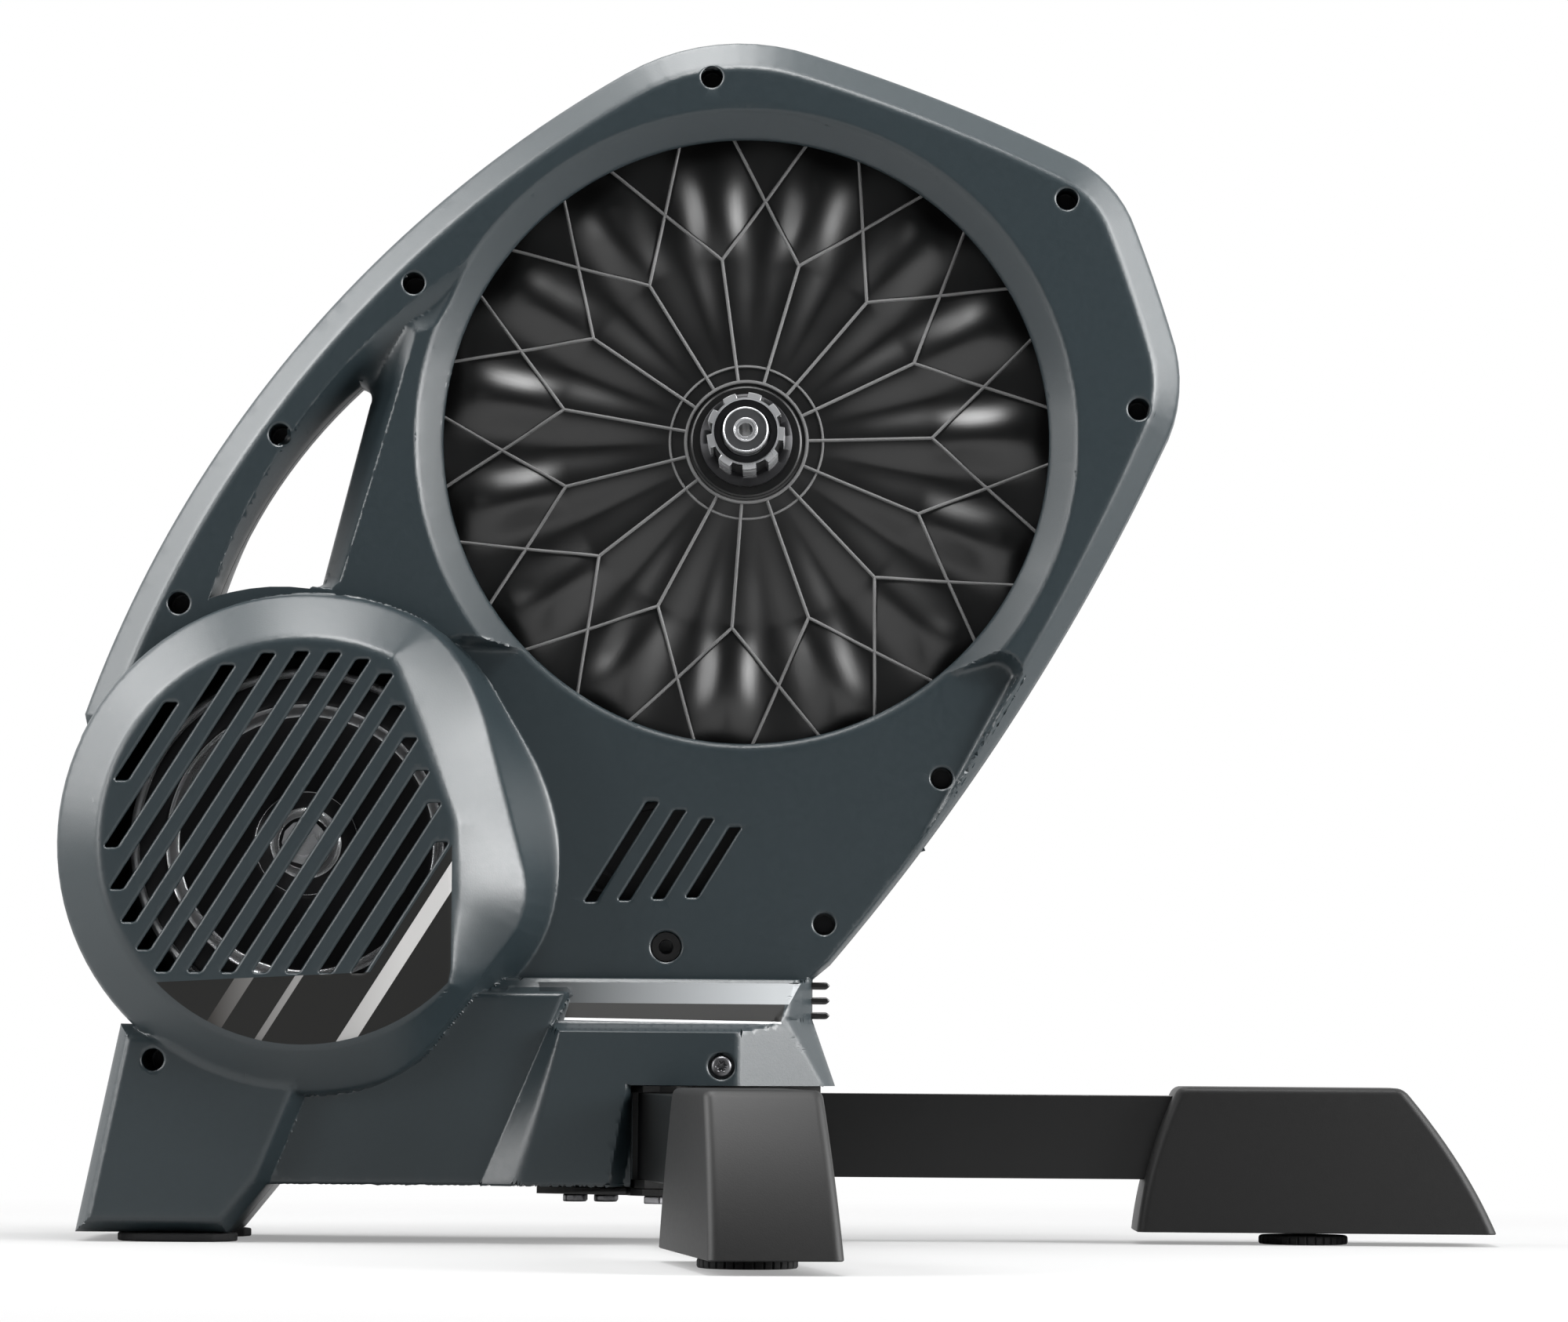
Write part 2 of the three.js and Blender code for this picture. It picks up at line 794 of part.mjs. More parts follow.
// A place beside a straight line: a share of its length along it, and another to its left.
function besideChord([fromX, fromZ], [toX, toZ], alongShare, leftShare) {
  const [runX, runZ] = [toX - fromX, toZ - fromZ];
  return { x: fromX + runX * alongShare - runZ * leftShare, z: fromZ + runZ * alongShare + runX * leftShare };
}

function screwPlaces() {
  const places = borderScrewShares.map(({ name, place }) => {
    const [x, z] = around(axle, openingRadius, place);
    return { name, x, z, depth: shellHalfWidth };
  });
  const crownFront = around(axle, openingRadius, crownShares.at(-1).place);
  const throat = [throatFront, baseTop + throatRise];
  for (const { name, alongShare, leftShare } of frontScrewShares) {
    places.push({ name, ...besideChord(throat, crownFront, alongShare, leftShare), depth: deckDepth });
  }
  places.push({ name: 'foot', x: footScrewX, z: footScrewZ, depth: footDepth });
  return places;
}

function roundPin(place, radius, nearDepth, farDepth, steps = holeSteps) {
  return prism(circleOutline(place, radius, steps), nearDepth, farDepth);
}

// Where a slanted line through a point stays inside a convex outline, as two distances along it.
function clipLine(point, along, outline) {
  let from = -Infinity;
  let to = Infinity;
  outline.forEach((corner, i) => {
    const next = outline[(i + 1) % outline.length];
    const inward = new THREE.Vector2(next.z - corner.z, corner.x - next.x);
    const rate = inward.dot(along);
    const gap = inward.x * (point.x - corner.x) + inward.y * (point.z - corner.z);
    if (rate > 0) from = Math.max(from, -gap / rate);
    else if (rate < 0) to = Math.min(to, -gap / rate);
  });
  return [from, to];
}

function grilleSlots() {
  const along = new THREE.Vector2(Math.cos(slotLean), Math.sin(slotLean));
  const limit = insetEven(grilleOutline, slotMargin + slotWidth / 2);
  const slots = [];
  for (let i = 0; i < slotCount; i += 1) {
    const offset = (i + 1 - slotCount * slotCentreShare) * slotPitch;
    const point = { x: flywheelCentre.x + offset, z: flywheelCentre.z };
    const [from, to] = clipLine(point, along, limit);
    const low = Math.max(from, slotFloor / Math.sin(slotLean));
    const start = { x: point.x + along.x * low, z: point.z + along.y * low };
    const end = { x: point.x + along.x * to, z: point.z + along.y * to };
    slots.push(slotOutline(start, end, slotWidth));
  }
  return slots;
}

function ventSlots() {
  const slots = [];
  for (let i = 0; i < ventCount; i += 1) {
    const reach = (deckHeight * ventLengthShare * (1 - ventShrinkShare * i)) / 2;
    const x = ventFirst + ventPitch * i;
    const z = baseTop + deckHeight * ventMiddleShare - ventDrop * i;
    const run = reach * Math.cos(ventLean);
    const rise = reach * Math.sin(ventLean);
    const ends = [{ x: x - run, z: z - rise }, { x: x + run, z: z + rise }];
    slots.push(slotOutline(ends[0], ends[1], ventWidth));
  }
  return slots;
}

// Skin of one cover, before its holes: the forms are joined and the recesses taken out.
function coverForm(skin, rimDepth, faceDepth) {
  const upper = upperBody(skin).subtract(deckCut(skin)).subtract(coneCut(skin)).subtract(windowCut(skin));
  const lower = union([
    bulge(skin, rimDepth, faceDepth),
    baseBody(skin),
    baseRib(skin),
    baseBlock(skin),
    rearFoot(skin),
  ]);
  return upper.add(lower);
}

function cover(rimDepth, faceDepth) {
  const outside = coverForm(0, rimDepth, faceDepth);
  const hollow = coverForm(wall, rimDepth, faceDepth);
  const notchWalls = legNotch(wall).intersect(outside);
  const shell = outside.subtract(hollow.subtract(notchWalls)).subtract(legNotch(0));
  const bosses = screwPlaces().map(({ x, z, depth }) => (
    roundPin({ x, z }, bossRadius, clearance / 2, depth - bite, bossSteps)));
  const cores = screwPlaces().map((place) => (
    roundPin(place, screwCoreRadius, -overrun, bossFloorDepth + overrun, coreSteps)));
  return cutAll(union([shell, ...bosses]), cores);
}

// The same solid on the other side of the middle plane.
function mirrored(solid) {
  const mesh = solid.getMesh();
  const positions = Array.from(mesh.vertProperties, (value, i) => (i % 3 === 1 ? -value : value));
  return solidFromTriangles(positions, Array.from(mesh.triVerts));
}

// A round bar between two points, in any direction.
function rod(from, to, radius, steps = holeSteps) {
  const along = new THREE.Vector3().subVectors(to, from);
  const geometry = new THREE.CylinderGeometry(radius, radius, along.length(), steps);
  const heading = along.clone().normalize();
  geometry.applyQuaternion(new THREE.Quaternion().setFromUnitVectors(THREE.Object3D.DEFAULT_UP, heading));
  const middle = new THREE.Vector3().addVectors(from, to).multiplyScalar(0.5);
  geometry.translate(middle.x, middle.y, middle.z);
  return solidFromGeometry(geometry);
}

function uprightRod(x, y, low, high, radius, steps = holeSteps) {
  return rod(new THREE.Vector3(x, y, low), new THREE.Vector3(x, y, high), radius, steps);
}

// A ring turned about Y from a closed profile of [radius, depth] corners.
function turned(profile, centre, steps = roundSteps) {
  const points = profile.map(([radius, depth]) => new THREE.Vector2(radius, -depth));
  const first = points[0];
  if (first.x > 0) points.push(first.clone());
  const geometry = new THREE.LatheGeometry(points, steps);
  geometry.translate(centre.x, 0, centre.z);
  return solidFromGeometry(geometry);
}

function ring(centre, inner, outer, nearDepth, farDepth, steps = roundSteps) {
  const profile = [[inner, nearDepth], [outer, nearDepth], [outer, farDepth], [inner, farDepth]];
  return turned(profile, centre, steps);
}

// A flat plate lying in XY, from a list of [x, y] corners.
function levelPlate(corners, low, high) {
  const shape = new THREE.Shape(corners.map(([x, y]) => new THREE.Vector2(x, y)));
  const geometry = new THREE.ExtrudeGeometry(shape, { depth: high - low, bevelEnabled: false });
  geometry.translate(0, 0, low);
  return solidFromGeometry(geometry);
}

// Corners of a round end of a plate, about a centre, from one angle to another.
function roundEnd(x, y, radius, fromAngle, toAngle, steps = plateEndSteps) {
  const corners = [];
  for (let i = 0; i <= steps; i += 1) {
    const angle = fromAngle + ((toAngle - fromAngle) * i) / steps;
    corners.push([x + radius * Math.cos(angle), y + radius * Math.sin(angle)]);
  }
  return corners;
}

function driveSideCover() {
  const through = roundPin(axle, openingRadius, deckDepth - 2 * wall, coneDepth + overrun, bulgeSteps);
  const slots = grilleSlots().map((outline) => prism(outline, bulgeEdgeDepth, bulgeFaceDepth + overrun));
  const vents = ventSlots().map((outline) => prism(outline, edgeDepth - overrun, deckDepth + overrun));
  const baseScrew = { x: baseScrewX, z: baseScrewZ };
  const form = cover(bulgeEdgeDepth, bulgeFaceDepth)
    .add(roundPin(baseScrew, bossRadius, shellHalfWidth, blockDepth - bite).intersect(baseBlock(0)))
    .add(roundPin(plugHole, plugHoleRadius + sleeveWall, jackEnd(), deckDepth - bite, roundSteps));
  return cutAll(form, [
    through,
    ...slots,
    ...vents,
    ...screwPlaces().map(({ x, z, depth }) => (
      roundPin({ x, z }, screwHoleRadius, bossFloorDepth, depth + overrun))),
    roundPin(plugHole, plugHoleRadius, jackEnd() - overrun, deckDepth + overrun, roundSteps),
    roundPin(baseScrew, baseScrewHoleRadius, blockDepth - screwHeadHeight, blockDepth + overrun),
    roundPin(baseScrew, screwCoreRadius, shellHalfWidth - overrun, blockDepth, coreSteps),
    ...frameCuts(-1),
  ]);
}

function leftSideCover() {
  const vents = ventSlots().map((outline) => prism(outline, edgeDepth - overrun, deckDepth + overrun));
  const form = cutAll(cover(leftBulgeEdgeDepth, leftBulgeFaceDepth), [
    ...vents,
    roundPin(axle, axlePortRadius, coneDepth - 2 * wall, coneDepth + overrun, roundSteps),
  ]);
  return cutAll(mirrored(form), frameCuts(1));
}

// Room in both covers for the frame, the leg nuts, the bracket bolts and the front louvre.
function frameCuts(side) {
  const y = side * pivotY;
  const beamRoom = arcChain([
    [notchRear - 2 * wall, beamTop + clearance],
    [notchRear + overrun, beamTop + clearance],
    [notchRear + overrun, beamBottom - clearance],
    [notchRear - 2 * wall, beamBottom - clearance],
  ]);
  const room = side < 0
    ? prism(beamRoom, -overrun, beamHalfWidth + clearance)
    : prism(beamRoom, -beamHalfWidth - clearance, overrun);
  const bolts = bracketBoltPlaces.filter(({ y: boltY }) => Math.sign(boltY) === side);
  return [
    room,
    side < 0 ? louvreSlot() : mirrored(louvreSlot()),
    uprightRod(pivotX, y, notchTop - overrun, notchTop + 2 * wall, nutRoomRadius),
    ...bolts.map(({ x, y: boltY }) => uprightRod(x, boltY, baseBottom - overrun, baseBottom + 2 * wall,
      bracketBoltRadius + 2 * clearance)),
  ];
}

function axlePiece() {
  return turned([
    [axleBore, axleDriveTip],
    [axleTipRadius, axleDriveTip],
    [axleTipRadius, axleDriveEnd],
    [axleRadius, axleDriveEnd],
    [axleRadius, pulleyBack + clearance],
    [axleShoulderRadius, pulleyBack + clearance],
    [axleShoulderRadius, -plateNear + clearance],
    [axleRadius, -plateNear + clearance],
    [axleRadius, -axleLeftEnd],
    [axleTipRadius, -axleLeftEnd],
    [axleTipRadius, -axleLeftTip],
    [axleBore, -axleLeftTip],
  ], axle);
}

function freehubBody() {
  const steps = 4 * splineCount;
  const outline = [];
  for (let i = 0; i < steps; i += 1) {
    const turn = (-2 * Math.PI * i) / steps;
    const radius = i % 4 < 2 ? splineRadius : freehubRadius;
    outline.push(outlinePoint(axle, radius, turn));
  }
  const splines = prism(outline, freehubBack + bite, freehubEnd - splineRelief);
  const core = turned([
    [freehubBore, freehubBack],
    [freehubCollar, freehubBack],
    [freehubCollar, freehubBack + freehubCollarWidth],
    [freehubRadius, freehubBack + freehubCollarWidth],
    [freehubRadius, freehubEnd],
    [freehubBore, freehubEnd],
  ], axle, shownSteps);
  return core.add(splines).subtract(roundPin(axle, freehubBore, 0, freehubEnd + overrun, shownSteps));
}

// Depth of the pulley's web in front of the middle plane: a cone from the hub to the kinks of the
// ribs, then one smooth lobe outside each kink.
function webDepth(radius, angle) {
  const rimInner = pulleyRadius - rimThickness;
  if (radius <= kinkRadius) {
    return webFront + (webHub - webFront) * ((kinkRadius - radius) / (kinkRadius - hubRadius));
  }
  const out = (radius - kinkRadius) / (rimInner - kinkRadius);
  const across = Math.cos((lobeCount * (angle - lobeStart)) / 2) ** 2;
  return webFront + lobeHeight * Math.sin(Math.PI * Math.sqrt(out)) * across;
}

function drivenPulley() {
  const rimInner = pulleyRadius - rimThickness;
  const lobeRings = lobeRingShares.map((share) => kinkRadius + (rimInner - kinkRadius) * share);
  const profile = [
    [bearingOuterRadius + clearance, hubFront],
    [hubRadius - hubBevel, hubFront],
    [hubRadius, webHub],
    [kinkRadius, null],
    ...lobeRings.map((radius) => [radius, null]),
    [rimInner, null],
    [rimInner, pulleyFront],
    [pulleyRadius, pulleyFront],
    [pulleyRadius, pulleyBack],
    [rimInner, pulleyBack],
    [hubRadius, webBack],
    [bearingOuterRadius + clearance, pulleyBack],
  ];
  const steps = stepsPerLobe * lobeCount;
  const positions = [];
  const triangles = [];
  profile.forEach(([radius, depth]) => {
    for (let i = 0; i < steps; i += 1) {
      const angle = lobeStart + (2 * Math.PI * i) / steps;
      const out = depth === null ? webDepth(radius, angle) : depth;
      positions.push(radius * Math.cos(angle), -out, axleHeight + radius * Math.sin(angle));
    }
  });
  profile.forEach((corner, k) => {
    const next = (k + 1) % profile.length;
    for (let i = 0; i < steps; i += 1) {
      const j = (i + 1) % steps;
      const [a, b, c, d] = [k * steps + i, k * steps + j, next * steps + j, next * steps + i];
      triangles.push(a, b, c, a, c, d);
    }
  });
  const ribs = [];
  const pitch = (2 * Math.PI) / lobeCount;
  for (let i = 0; i < lobeCount; i += 1) {
    const kink = lobeStart + pitch * i;
    ribs.push(ribBar([hubRadius - hubBevel, kink], [kinkRadius, kink]));
    for (const side of [-1, 1]) {
      ribs.push(ribBar([kinkRadius, kink], [rimInner + ribWidth, kink + side * pitch * rimShare]));
    }
  }
  return ribs.reduce((whole, rib) => whole.add(rib), solidFromTriangles(positions, triangles));
}

// A straight rib between two [radius, angle] places, standing on the web along its whole length.
function ribBar(from, to) {
  const ends = [from, to].map(([radius, angle]) => ({
    x: radius * Math.cos(angle),
    z: axleHeight + radius * Math.sin(angle),
    top: webDepth(Math.max(radius, hubRadius), angle) + ribHeight,
  }));
  const along = new THREE.Vector2(ends[1].x - ends[0].x, ends[1].z - ends[0].z).normalize();
  const half = ribWidth / 2;
  const positions = [];
  for (const end of ends) {
    for (const [side, depth] of [[-1, webBack + bite], [1, webBack + bite], [1, end.top], [-1, end.top]]) {
      positions.push(end.x - side * half * along.y, -depth, end.z + side * half * along.x);
    }
  }
  const faces = [[0, 1, 2, 3], [4, 7, 6, 5], [0, 4, 5, 1], [1, 5, 6, 2], [2, 6, 7, 3], [3, 7, 4, 0]];
  return solidFromTriangles(positions, faces.flatMap(([a, b, c, d]) => [a, b, c, a, c, d]));
}

// The belt's loop round both pulleys: arcs joined by the two outer tangents.
function beltOutline(grow) {
  const reach = new THREE.Vector2(flywheelCentre.x - axle.x, flywheelCentre.z - axle.z);
  const spread = Math.acos((pulleyRadius - smallPulleyRadius) / reach.length());
  const heading = Math.atan2(reach.y, reach.x);
  const points = [];
  const arc = (centre, radius, from, to, steps) => {
    for (let i = 0; i <= steps; i += 1) {
      const angle = from + ((to - from) * i) / steps;
      points.push(outlinePoint(centre, radius, angle));
    }
  };
  const whole = 2 * Math.PI;
  arc(axle, pulleyRadius + grow, heading - spread, heading + spread - whole, beltSteps);
  arc(flywheelCentre, smallPulleyRadius + grow, heading + spread, heading - spread, smallBeltSteps);
  return points;
}

function driveBelt() {
  const inner = beltOutline(clearance);
  const outer = beltOutline(clearance + beltThickness);
  return prism(outer, beltDepth, beltDepth + beltWidth)
    .subtract(prism(inner, beltDepth - overrun, beltDepth + beltWidth + overrun));
}

function tensionerArm(place) {
  const pivot = { x: place.x + armReach, z: place.z - armDrop };
  const outline = slotOutline(pivot, place, 2 * idlerBore, plateEndSteps);
  return prism(outline, -plateNear + clearance, beltDepth - flangeThickness)
    .subtract(roundPin(place, idlerBolt + clearance, -overrun, beltDepth + overrun))
    .subtract(roundPin(pivot, idlerBolt + clearance, -overrun, beltDepth + overrun));
}

function tensionerBolt(place) {
  const head = beltDepth + beltWidth + clearance;
  return roundPin(place, idlerBolt, -plateNear + clearance, head + bite)
    .add(roundPin(place, idlerBoltHead, head, head + screwHeadHeight, hexSides));
}

// Centre of the idler, just outside the belt's lower run.
function idlerCentre() {
  const reach = new THREE.Vector2(flywheelCentre.x - axle.x, flywheelCentre.z - axle.z);
  const spread = Math.acos((pulleyRadius - smallPulleyRadius) / reach.length());
  const facing = Math.atan2(reach.y, reach.x) + spread;
  const normal = new THREE.Vector2(Math.cos(facing), Math.sin(facing));
  const out = beltThickness + idlerRadius + 2 * clearance;
  const start = outlinePoint(axle, pulleyRadius, facing);
  const end = outlinePoint(flywheelCentre, smallPulleyRadius, facing);
  return {
    x: start.x + (end.x - start.x) * idlerShare + normal.x * out,
    z: start.z + (end.z - start.z) * idlerShare + normal.y * out,
  };
}

function flywheelPiece() {
  const bore = shaftRadius + clearance;
  return turned([
    [bore, flywheelFrontDepth - flywheelHubSet],
    [flywheelHub, flywheelFrontDepth - flywheelHubSet],
    [flywheelHub, flywheelWebDepth + flywheelWeb],
    [flywheelRadius - flywheelRim, flywheelWebDepth + flywheelWeb],
    [flywheelRadius - flywheelRim, flywheelFrontDepth],
    [flywheelRadius, flywheelFrontDepth],
    [flywheelRadius, flywheelBackDepth],
    [flywheelHub, flywheelBackDepth],
    [bore, flywheelBackDepth],
  ], flywheelCentre, shownSteps);
}

function flywheelShaft() {
  const flange = smallPulleyRadius + beltThickness;
  const front = beltDepth + beltWidth + clearance;
  const back = beltDepth - clearance;
  return turned([
    [0, shaftFrontDepth],
    [shaftRadius, shaftFrontDepth],
    [shaftRadius, shaftNutDepth],
    [shaftNutRadius, shaftNutDepth],
    [shaftNutRadius, flywheelFrontDepth - flywheelHubSet + clearance],
    [shaftRadius, flywheelFrontDepth - flywheelHubSet + clearance],
    [shaftRadius, front + flangeThickness],
    [flange, front + flangeThickness],
    [flange, front],
    [smallPulleyRadius, front],
    [smallPulleyRadius, back],
    [flange, back],
    [flange, back - flangeThickness],
    [shaftRadius, back - flangeThickness],
    [shaftRadius, -shaftLeftEnd],
    [0, -shaftLeftEnd],
  ], flywheelCentre);
}

function onOrbit(centre, radius, degrees) {
  const angle = THREE.MathUtils.degToRad(degrees);
  return { x: centre.x + radius * Math.cos(angle), z: centre.z + radius * Math.sin(angle) };
}

function bridge() {
  const far = bridgeDepth + bearingWidth;
  const disc = roundPin(flywheelCentre, bridgeReach + 2 * standoffRadius, bridgeDepth, far, roundSteps);
  const posts = standoffAngles.map((degrees) => {
    const place = onOrbit(flywheelCentre, bridgeReach, degrees);
    return roundPin(place, standoffRadius, -plateNear + clearance, bridgeDepth + bite);
  });
  return union([disc, ...posts])
    .subtract(roundPin(flywheelCentre, shaftBearingRadius + clearance, 0, far + overrun, roundSteps));
}

function mainFrame() {
  const crown = plateShares.map(({ place, bowShare }) => (
    [...around(axle, openingRadius, place), bowShare, plateBowSteps]));
  const flangeEnd = notchRear - 2 * wall;
  const lobe = carrierOuter + plateMargin;
  const outline = arcChain([
    ...crown,
    [plateFront, baseTop + throatRise, 0, 1],
    [plateFront, notchTop + wall + clearance, 0, 1],
    [flangeEnd, notchTop + wall + clearance, 0, 1],
    [flangeEnd, beamTop + clearance, 0, 1],
    [-baseRear + overrun, beamTop + clearance, 0, 1],
    [...around(flywheelCentre, lobe, lobeShares.lowRear), lobeShares.bow, lobeShares.steps],
    [...around(flywheelCentre, lobe, lobeShares.highFront), 0, 1],
  ]);
  const back = -plateNear - plateThickness;
  const flange = arcChain([
    [-baseRear + overrun, beamTop + clearance + plateFlange],
    [flangeEnd, beamTop + clearance + plateFlange],
    [flangeEnd, beamTop + clearance],
    [-baseRear + overrun, beamTop + clearance],
  ]);
  const boardStands = boardCorners().map((place) => (
    roundPin(place, boardStandRadius, back - boardStand, back + bite)));
  const guideEnd = carrierDepth + 2 * carrierThickness;
  const guides = guideAngles.map((degrees) => (
    roundPin(onOrbit(flywheelCentre, magnetOrbit, degrees), guideRadius, -plateNear - bite, guideEnd)));
  const bearingFloor = -plateNear - bearingWidth - clearance;
  const solid = union([
    prism(outline, back, -plateNear),
    prism(flange, back, beamHalfWidth),
    roundPin(axle, plateBossRadius, -plateBossEnd, -plateNear, roundSteps),
    roundPin(flywheelCentre, plateBossRadius, -shaftLeftEnd, -plateNear, roundSteps),
    ...boardStands,
    ...guides,
  ]);
  const lightening = lighteningShares.map(({ place, radiusShare }) => {
    const [x, z] = around(axle, openingRadius, place);
    return roundPin({ x, z }, openingRadius * radiusShare, back - overrun, -plateNear + overrun, roundSteps);
  });
  return cutAll(solid, [
    roundPin(axle, axleRadius + clearance, -plateBossEnd - overrun, overrun, roundSteps),
    roundPin(flywheelCentre, shaftBearingRadius + clearance, bearingFloor, overrun, roundSteps),
    roundPin(flywheelCentre, shaftRadius + clearance, -shaftLeftEnd - overrun, overrun, roundSteps),
    ...lightening,
  ]);
}

function boardCorners() {
  const reachX = boardLength / 2 - screwHeadRadius;
  const reachZ = boardHeight / 2 - screwHeadRadius;
  return [[-1, -1], [1, -1], [1, 1], [-1, 1]].map(([sideX, sideZ]) => (
    { x: boardX + sideX * reachX, z: boardZ + sideZ * reachZ }));
}

function circuitBoard() {
  const near = -plateNear - plateThickness - boardStand - clearance;
  const [left, right] = [boardX - boardLength / 2, boardX + boardLength / 2];
  const [low, high] = [boardZ - boardHeight / 2, boardZ + boardHeight / 2];
  const edge = arcChain([[left, high], [right, high], [right, low], [left, low]]);
  const sheet = prism(edge, near - boardThickness, near);
  const chip = roundPin(
    { x: boardX, z: boardZ },
    boardHeight * chipShare,
    near - 2 * boardThickness,
    near - boardThickness / 2,
    chipSides,
  );
  return sheet.add(chip);
}

function baseBeam() {
  const outer = arcChain([
    [-beamReach, beamTop], [beamFront, beamTop], [beamFront, beamBottom], [-beamReach, beamBottom],
  ]);
  const inner = arcChain([
    [-beamReach - overrun, beamTop - beamWall],
    [beamFront + overrun, beamTop - beamWall],
    [beamFront + overrun, beamBottom + beamWall],
    [-beamReach - overrun, beamBottom + beamWall],
  ]);
  const hollow = beamHalfWidth - beamWall;
  return prism(outer, -beamHalfWidth, beamHalfWidth).subtract(prism(inner, -hollow, hollow));
}

// Plates over and under the legs, joined by two webs that take the base beam between them.
function legBracket() {
  const topLow = tubeBottom + tubeHeight + clearance;
  const lowTop = baseBottom - 2 * clearance;
  const half = Math.PI / 2;
  const outline = (rear) => [
    [rear, -webHalfWidth - bracketThickness],
    ...roundEnd(pivotX, -pivotY, pivotPlateRadius, -2 * half, 0),
    [bracketFront, -webHalfWidth - bracketThickness],
    [bracketFront, webHalfWidth + bracketThickness],
    ...roundEnd(pivotX, pivotY, pivotPlateRadius, 0, 2 * half),
    [rear, webHalfWidth + bracketThickness],
  ];
  const top = levelPlate(outline(notchRear + clearance), topLow, topLow + bracketThickness);
  const bottom = levelPlate(outline(bracketRear), lowTop - bracketThickness, lowTop);
  const webs = [-1, 1].map((side) => {
    const near = side * webHalfWidth;
    const far = side * (webHalfWidth + bracketThickness);
    return levelPlate([
      [notchRear + clearance, near],
      [beamFront, near],
      [beamFront, far],
      [notchRear + clearance, far],
    ], lowTop - bite, topLow + bite);
  });
  const holes = [-1, 1].map((side) => (
    uprightRod(pivotX, side * pivotY, 0, topLow + overrun, pivotRadius + clearance, pinSteps)));
  const boltHoles = bracketBoltPlaces.map(({ x, y }) => (
    uprightRod(x, y, 0, lowTop + overrun, bracketBoltRadius + clearance)));
  return cutAll(union([top, bottom, ...webs]), [...holes, ...boltHoles]);
}

function legTube() {
  const half = tubeWidth / 2;
  const outline = (grow, end) => [
    ...roundEnd(0, 0, half + grow, Math.PI / 2, (3 * Math.PI) / 2),
    [end, -half - grow],
    [end, half + grow],
  ];
  const outer = levelPlate(outline(0, tubeEnd), tubeBottom, tubeBottom + tubeHeight);
  const [low, high] = [tubeBottom + tubeWall, tubeBottom + tubeHeight - tubeWall];
  return outer.subtract(levelPlate(outline(-tubeWall, tubeEnd + overrun), low, high))
    .subtract(uprightRod(0, 0, 0, tubeBottom + tubeHeight + overrun, pivotRadius + clearance, pinSteps));
}

function legFoot() {
  const side = arcChain([
    [legReach - heelHigh, capTop, 0, 1],
    [legReach + toeHigh, capTop, footEndBowShare, ribBowSteps],
    [legReach + toeLow, capBottom, 0, 1],
    [legReach - heelLow, capBottom, footInnerBowShare, ribBowSteps],
  ]);
  const body = prism(side, -2 * capHalfWidthBottom, 2 * capHalfWidthBottom);
  const section = new THREE.Shape([
    new THREE.Vector2(capHalfWidthBottom, capBottom - overrun),
    new THREE.Vector2(capHalfWidthTop, capTop + overrun),
    new THREE.Vector2(-capHalfWidthTop, capTop + overrun),
    new THREE.Vector2(-capHalfWidthBottom, capBottom - overrun),
  ]);
  const reach = legReach + toeLow;
  const sectionGeometry = new THREE.ExtrudeGeometry(section, { depth: reach, bevelEnabled: false });
  sectionGeometry.applyMatrix4(new THREE.Matrix4().makeBasis(
    new THREE.Vector3(0, 1, 0), new THREE.Vector3(0, 0, 1), new THREE.Vector3(1, 0, 0)));
  sectionGeometry.translate(overrun, 0, 0);
  const half = tubeWidth / 2 + clearance;
  const socket = levelPlate([
    [0, -half], [tubeEnd + clearance, -half], [tubeEnd + clearance, half], [0, half],
  ], tubeBottom - clearance, tubeBottom + tubeHeight + clearance);
  return body.intersect(solidFromGeometry(sectionGeometry))
    .subtract(socket)
    .subtract(uprightRod(legReach, 0, 0, tubeBottom + overrun, padStemRadius + clearance, pinSteps));
}

function legPad() {
  const disc = uprightRod(legReach, 0, 0, capBottom - clearance, padRadius, roundSteps);
  return disc.add(uprightRod(legReach, 0, bite, tubeBottom - clearance, padStemRadius, pinSteps));
}

function pivotBolt(side) {
  const lowTop = baseBottom - 2 * clearance;
  const plateLow = lowTop - bracketThickness;
  const topHigh = tubeBottom + tubeHeight + clearance + bracketThickness;
  const seat = plateLow - clearance;
  const y = side * pivotY;
  return uprightRod(pivotX, y, seat - boltHeadHeight, seat, boltHeadRadius, hexSides)
    .add(uprightRod(pivotX, y, seat - bite, topHigh + nutHeight + clearance, pivotRadius, pinSteps));
}

function pivotNut(side) {
  const topHigh = tubeBottom + tubeHeight + clearance + bracketThickness;
  const y = side * pivotY;
  const bore = pivotRadius + clearance;
  return uprightRod(pivotX, y, topHigh + clearance, topHigh + clearance + nutHeight, boltHeadRadius, hexSides)
    .subtract(uprightRod(pivotX, y, topHigh, topHigh + nutHeight + overrun, bore, pinSteps));
}

function pivotBush(side) {
  const lowTop = baseBottom - 2 * clearance;
  const y = side * pivotY;
  return uprightRod(pivotX, y, lowTop + clearance, tubeBottom - clearance, bushRadius, roundSteps)
    .subtract(uprightRod(pivotX, y, 0, tubeBottom + overrun, pivotRadius + clearance, pinSteps));
}

function rearPad(side) {
  const half = (rearPadLength - rearPadWidth) / 2;
  const y = side * rearPadY;
  const corners = [
    ...roundEnd(rearPadX + half, y, rearPadWidth / 2, -Math.PI / 2, Math.PI / 2),
    ...roundEnd(rearPadX - half, y, rearPadWidth / 2, Math.PI / 2, (3 * Math.PI) / 2),
  ];
  return levelPlate(corners, 0, footBottom - clearance);
}

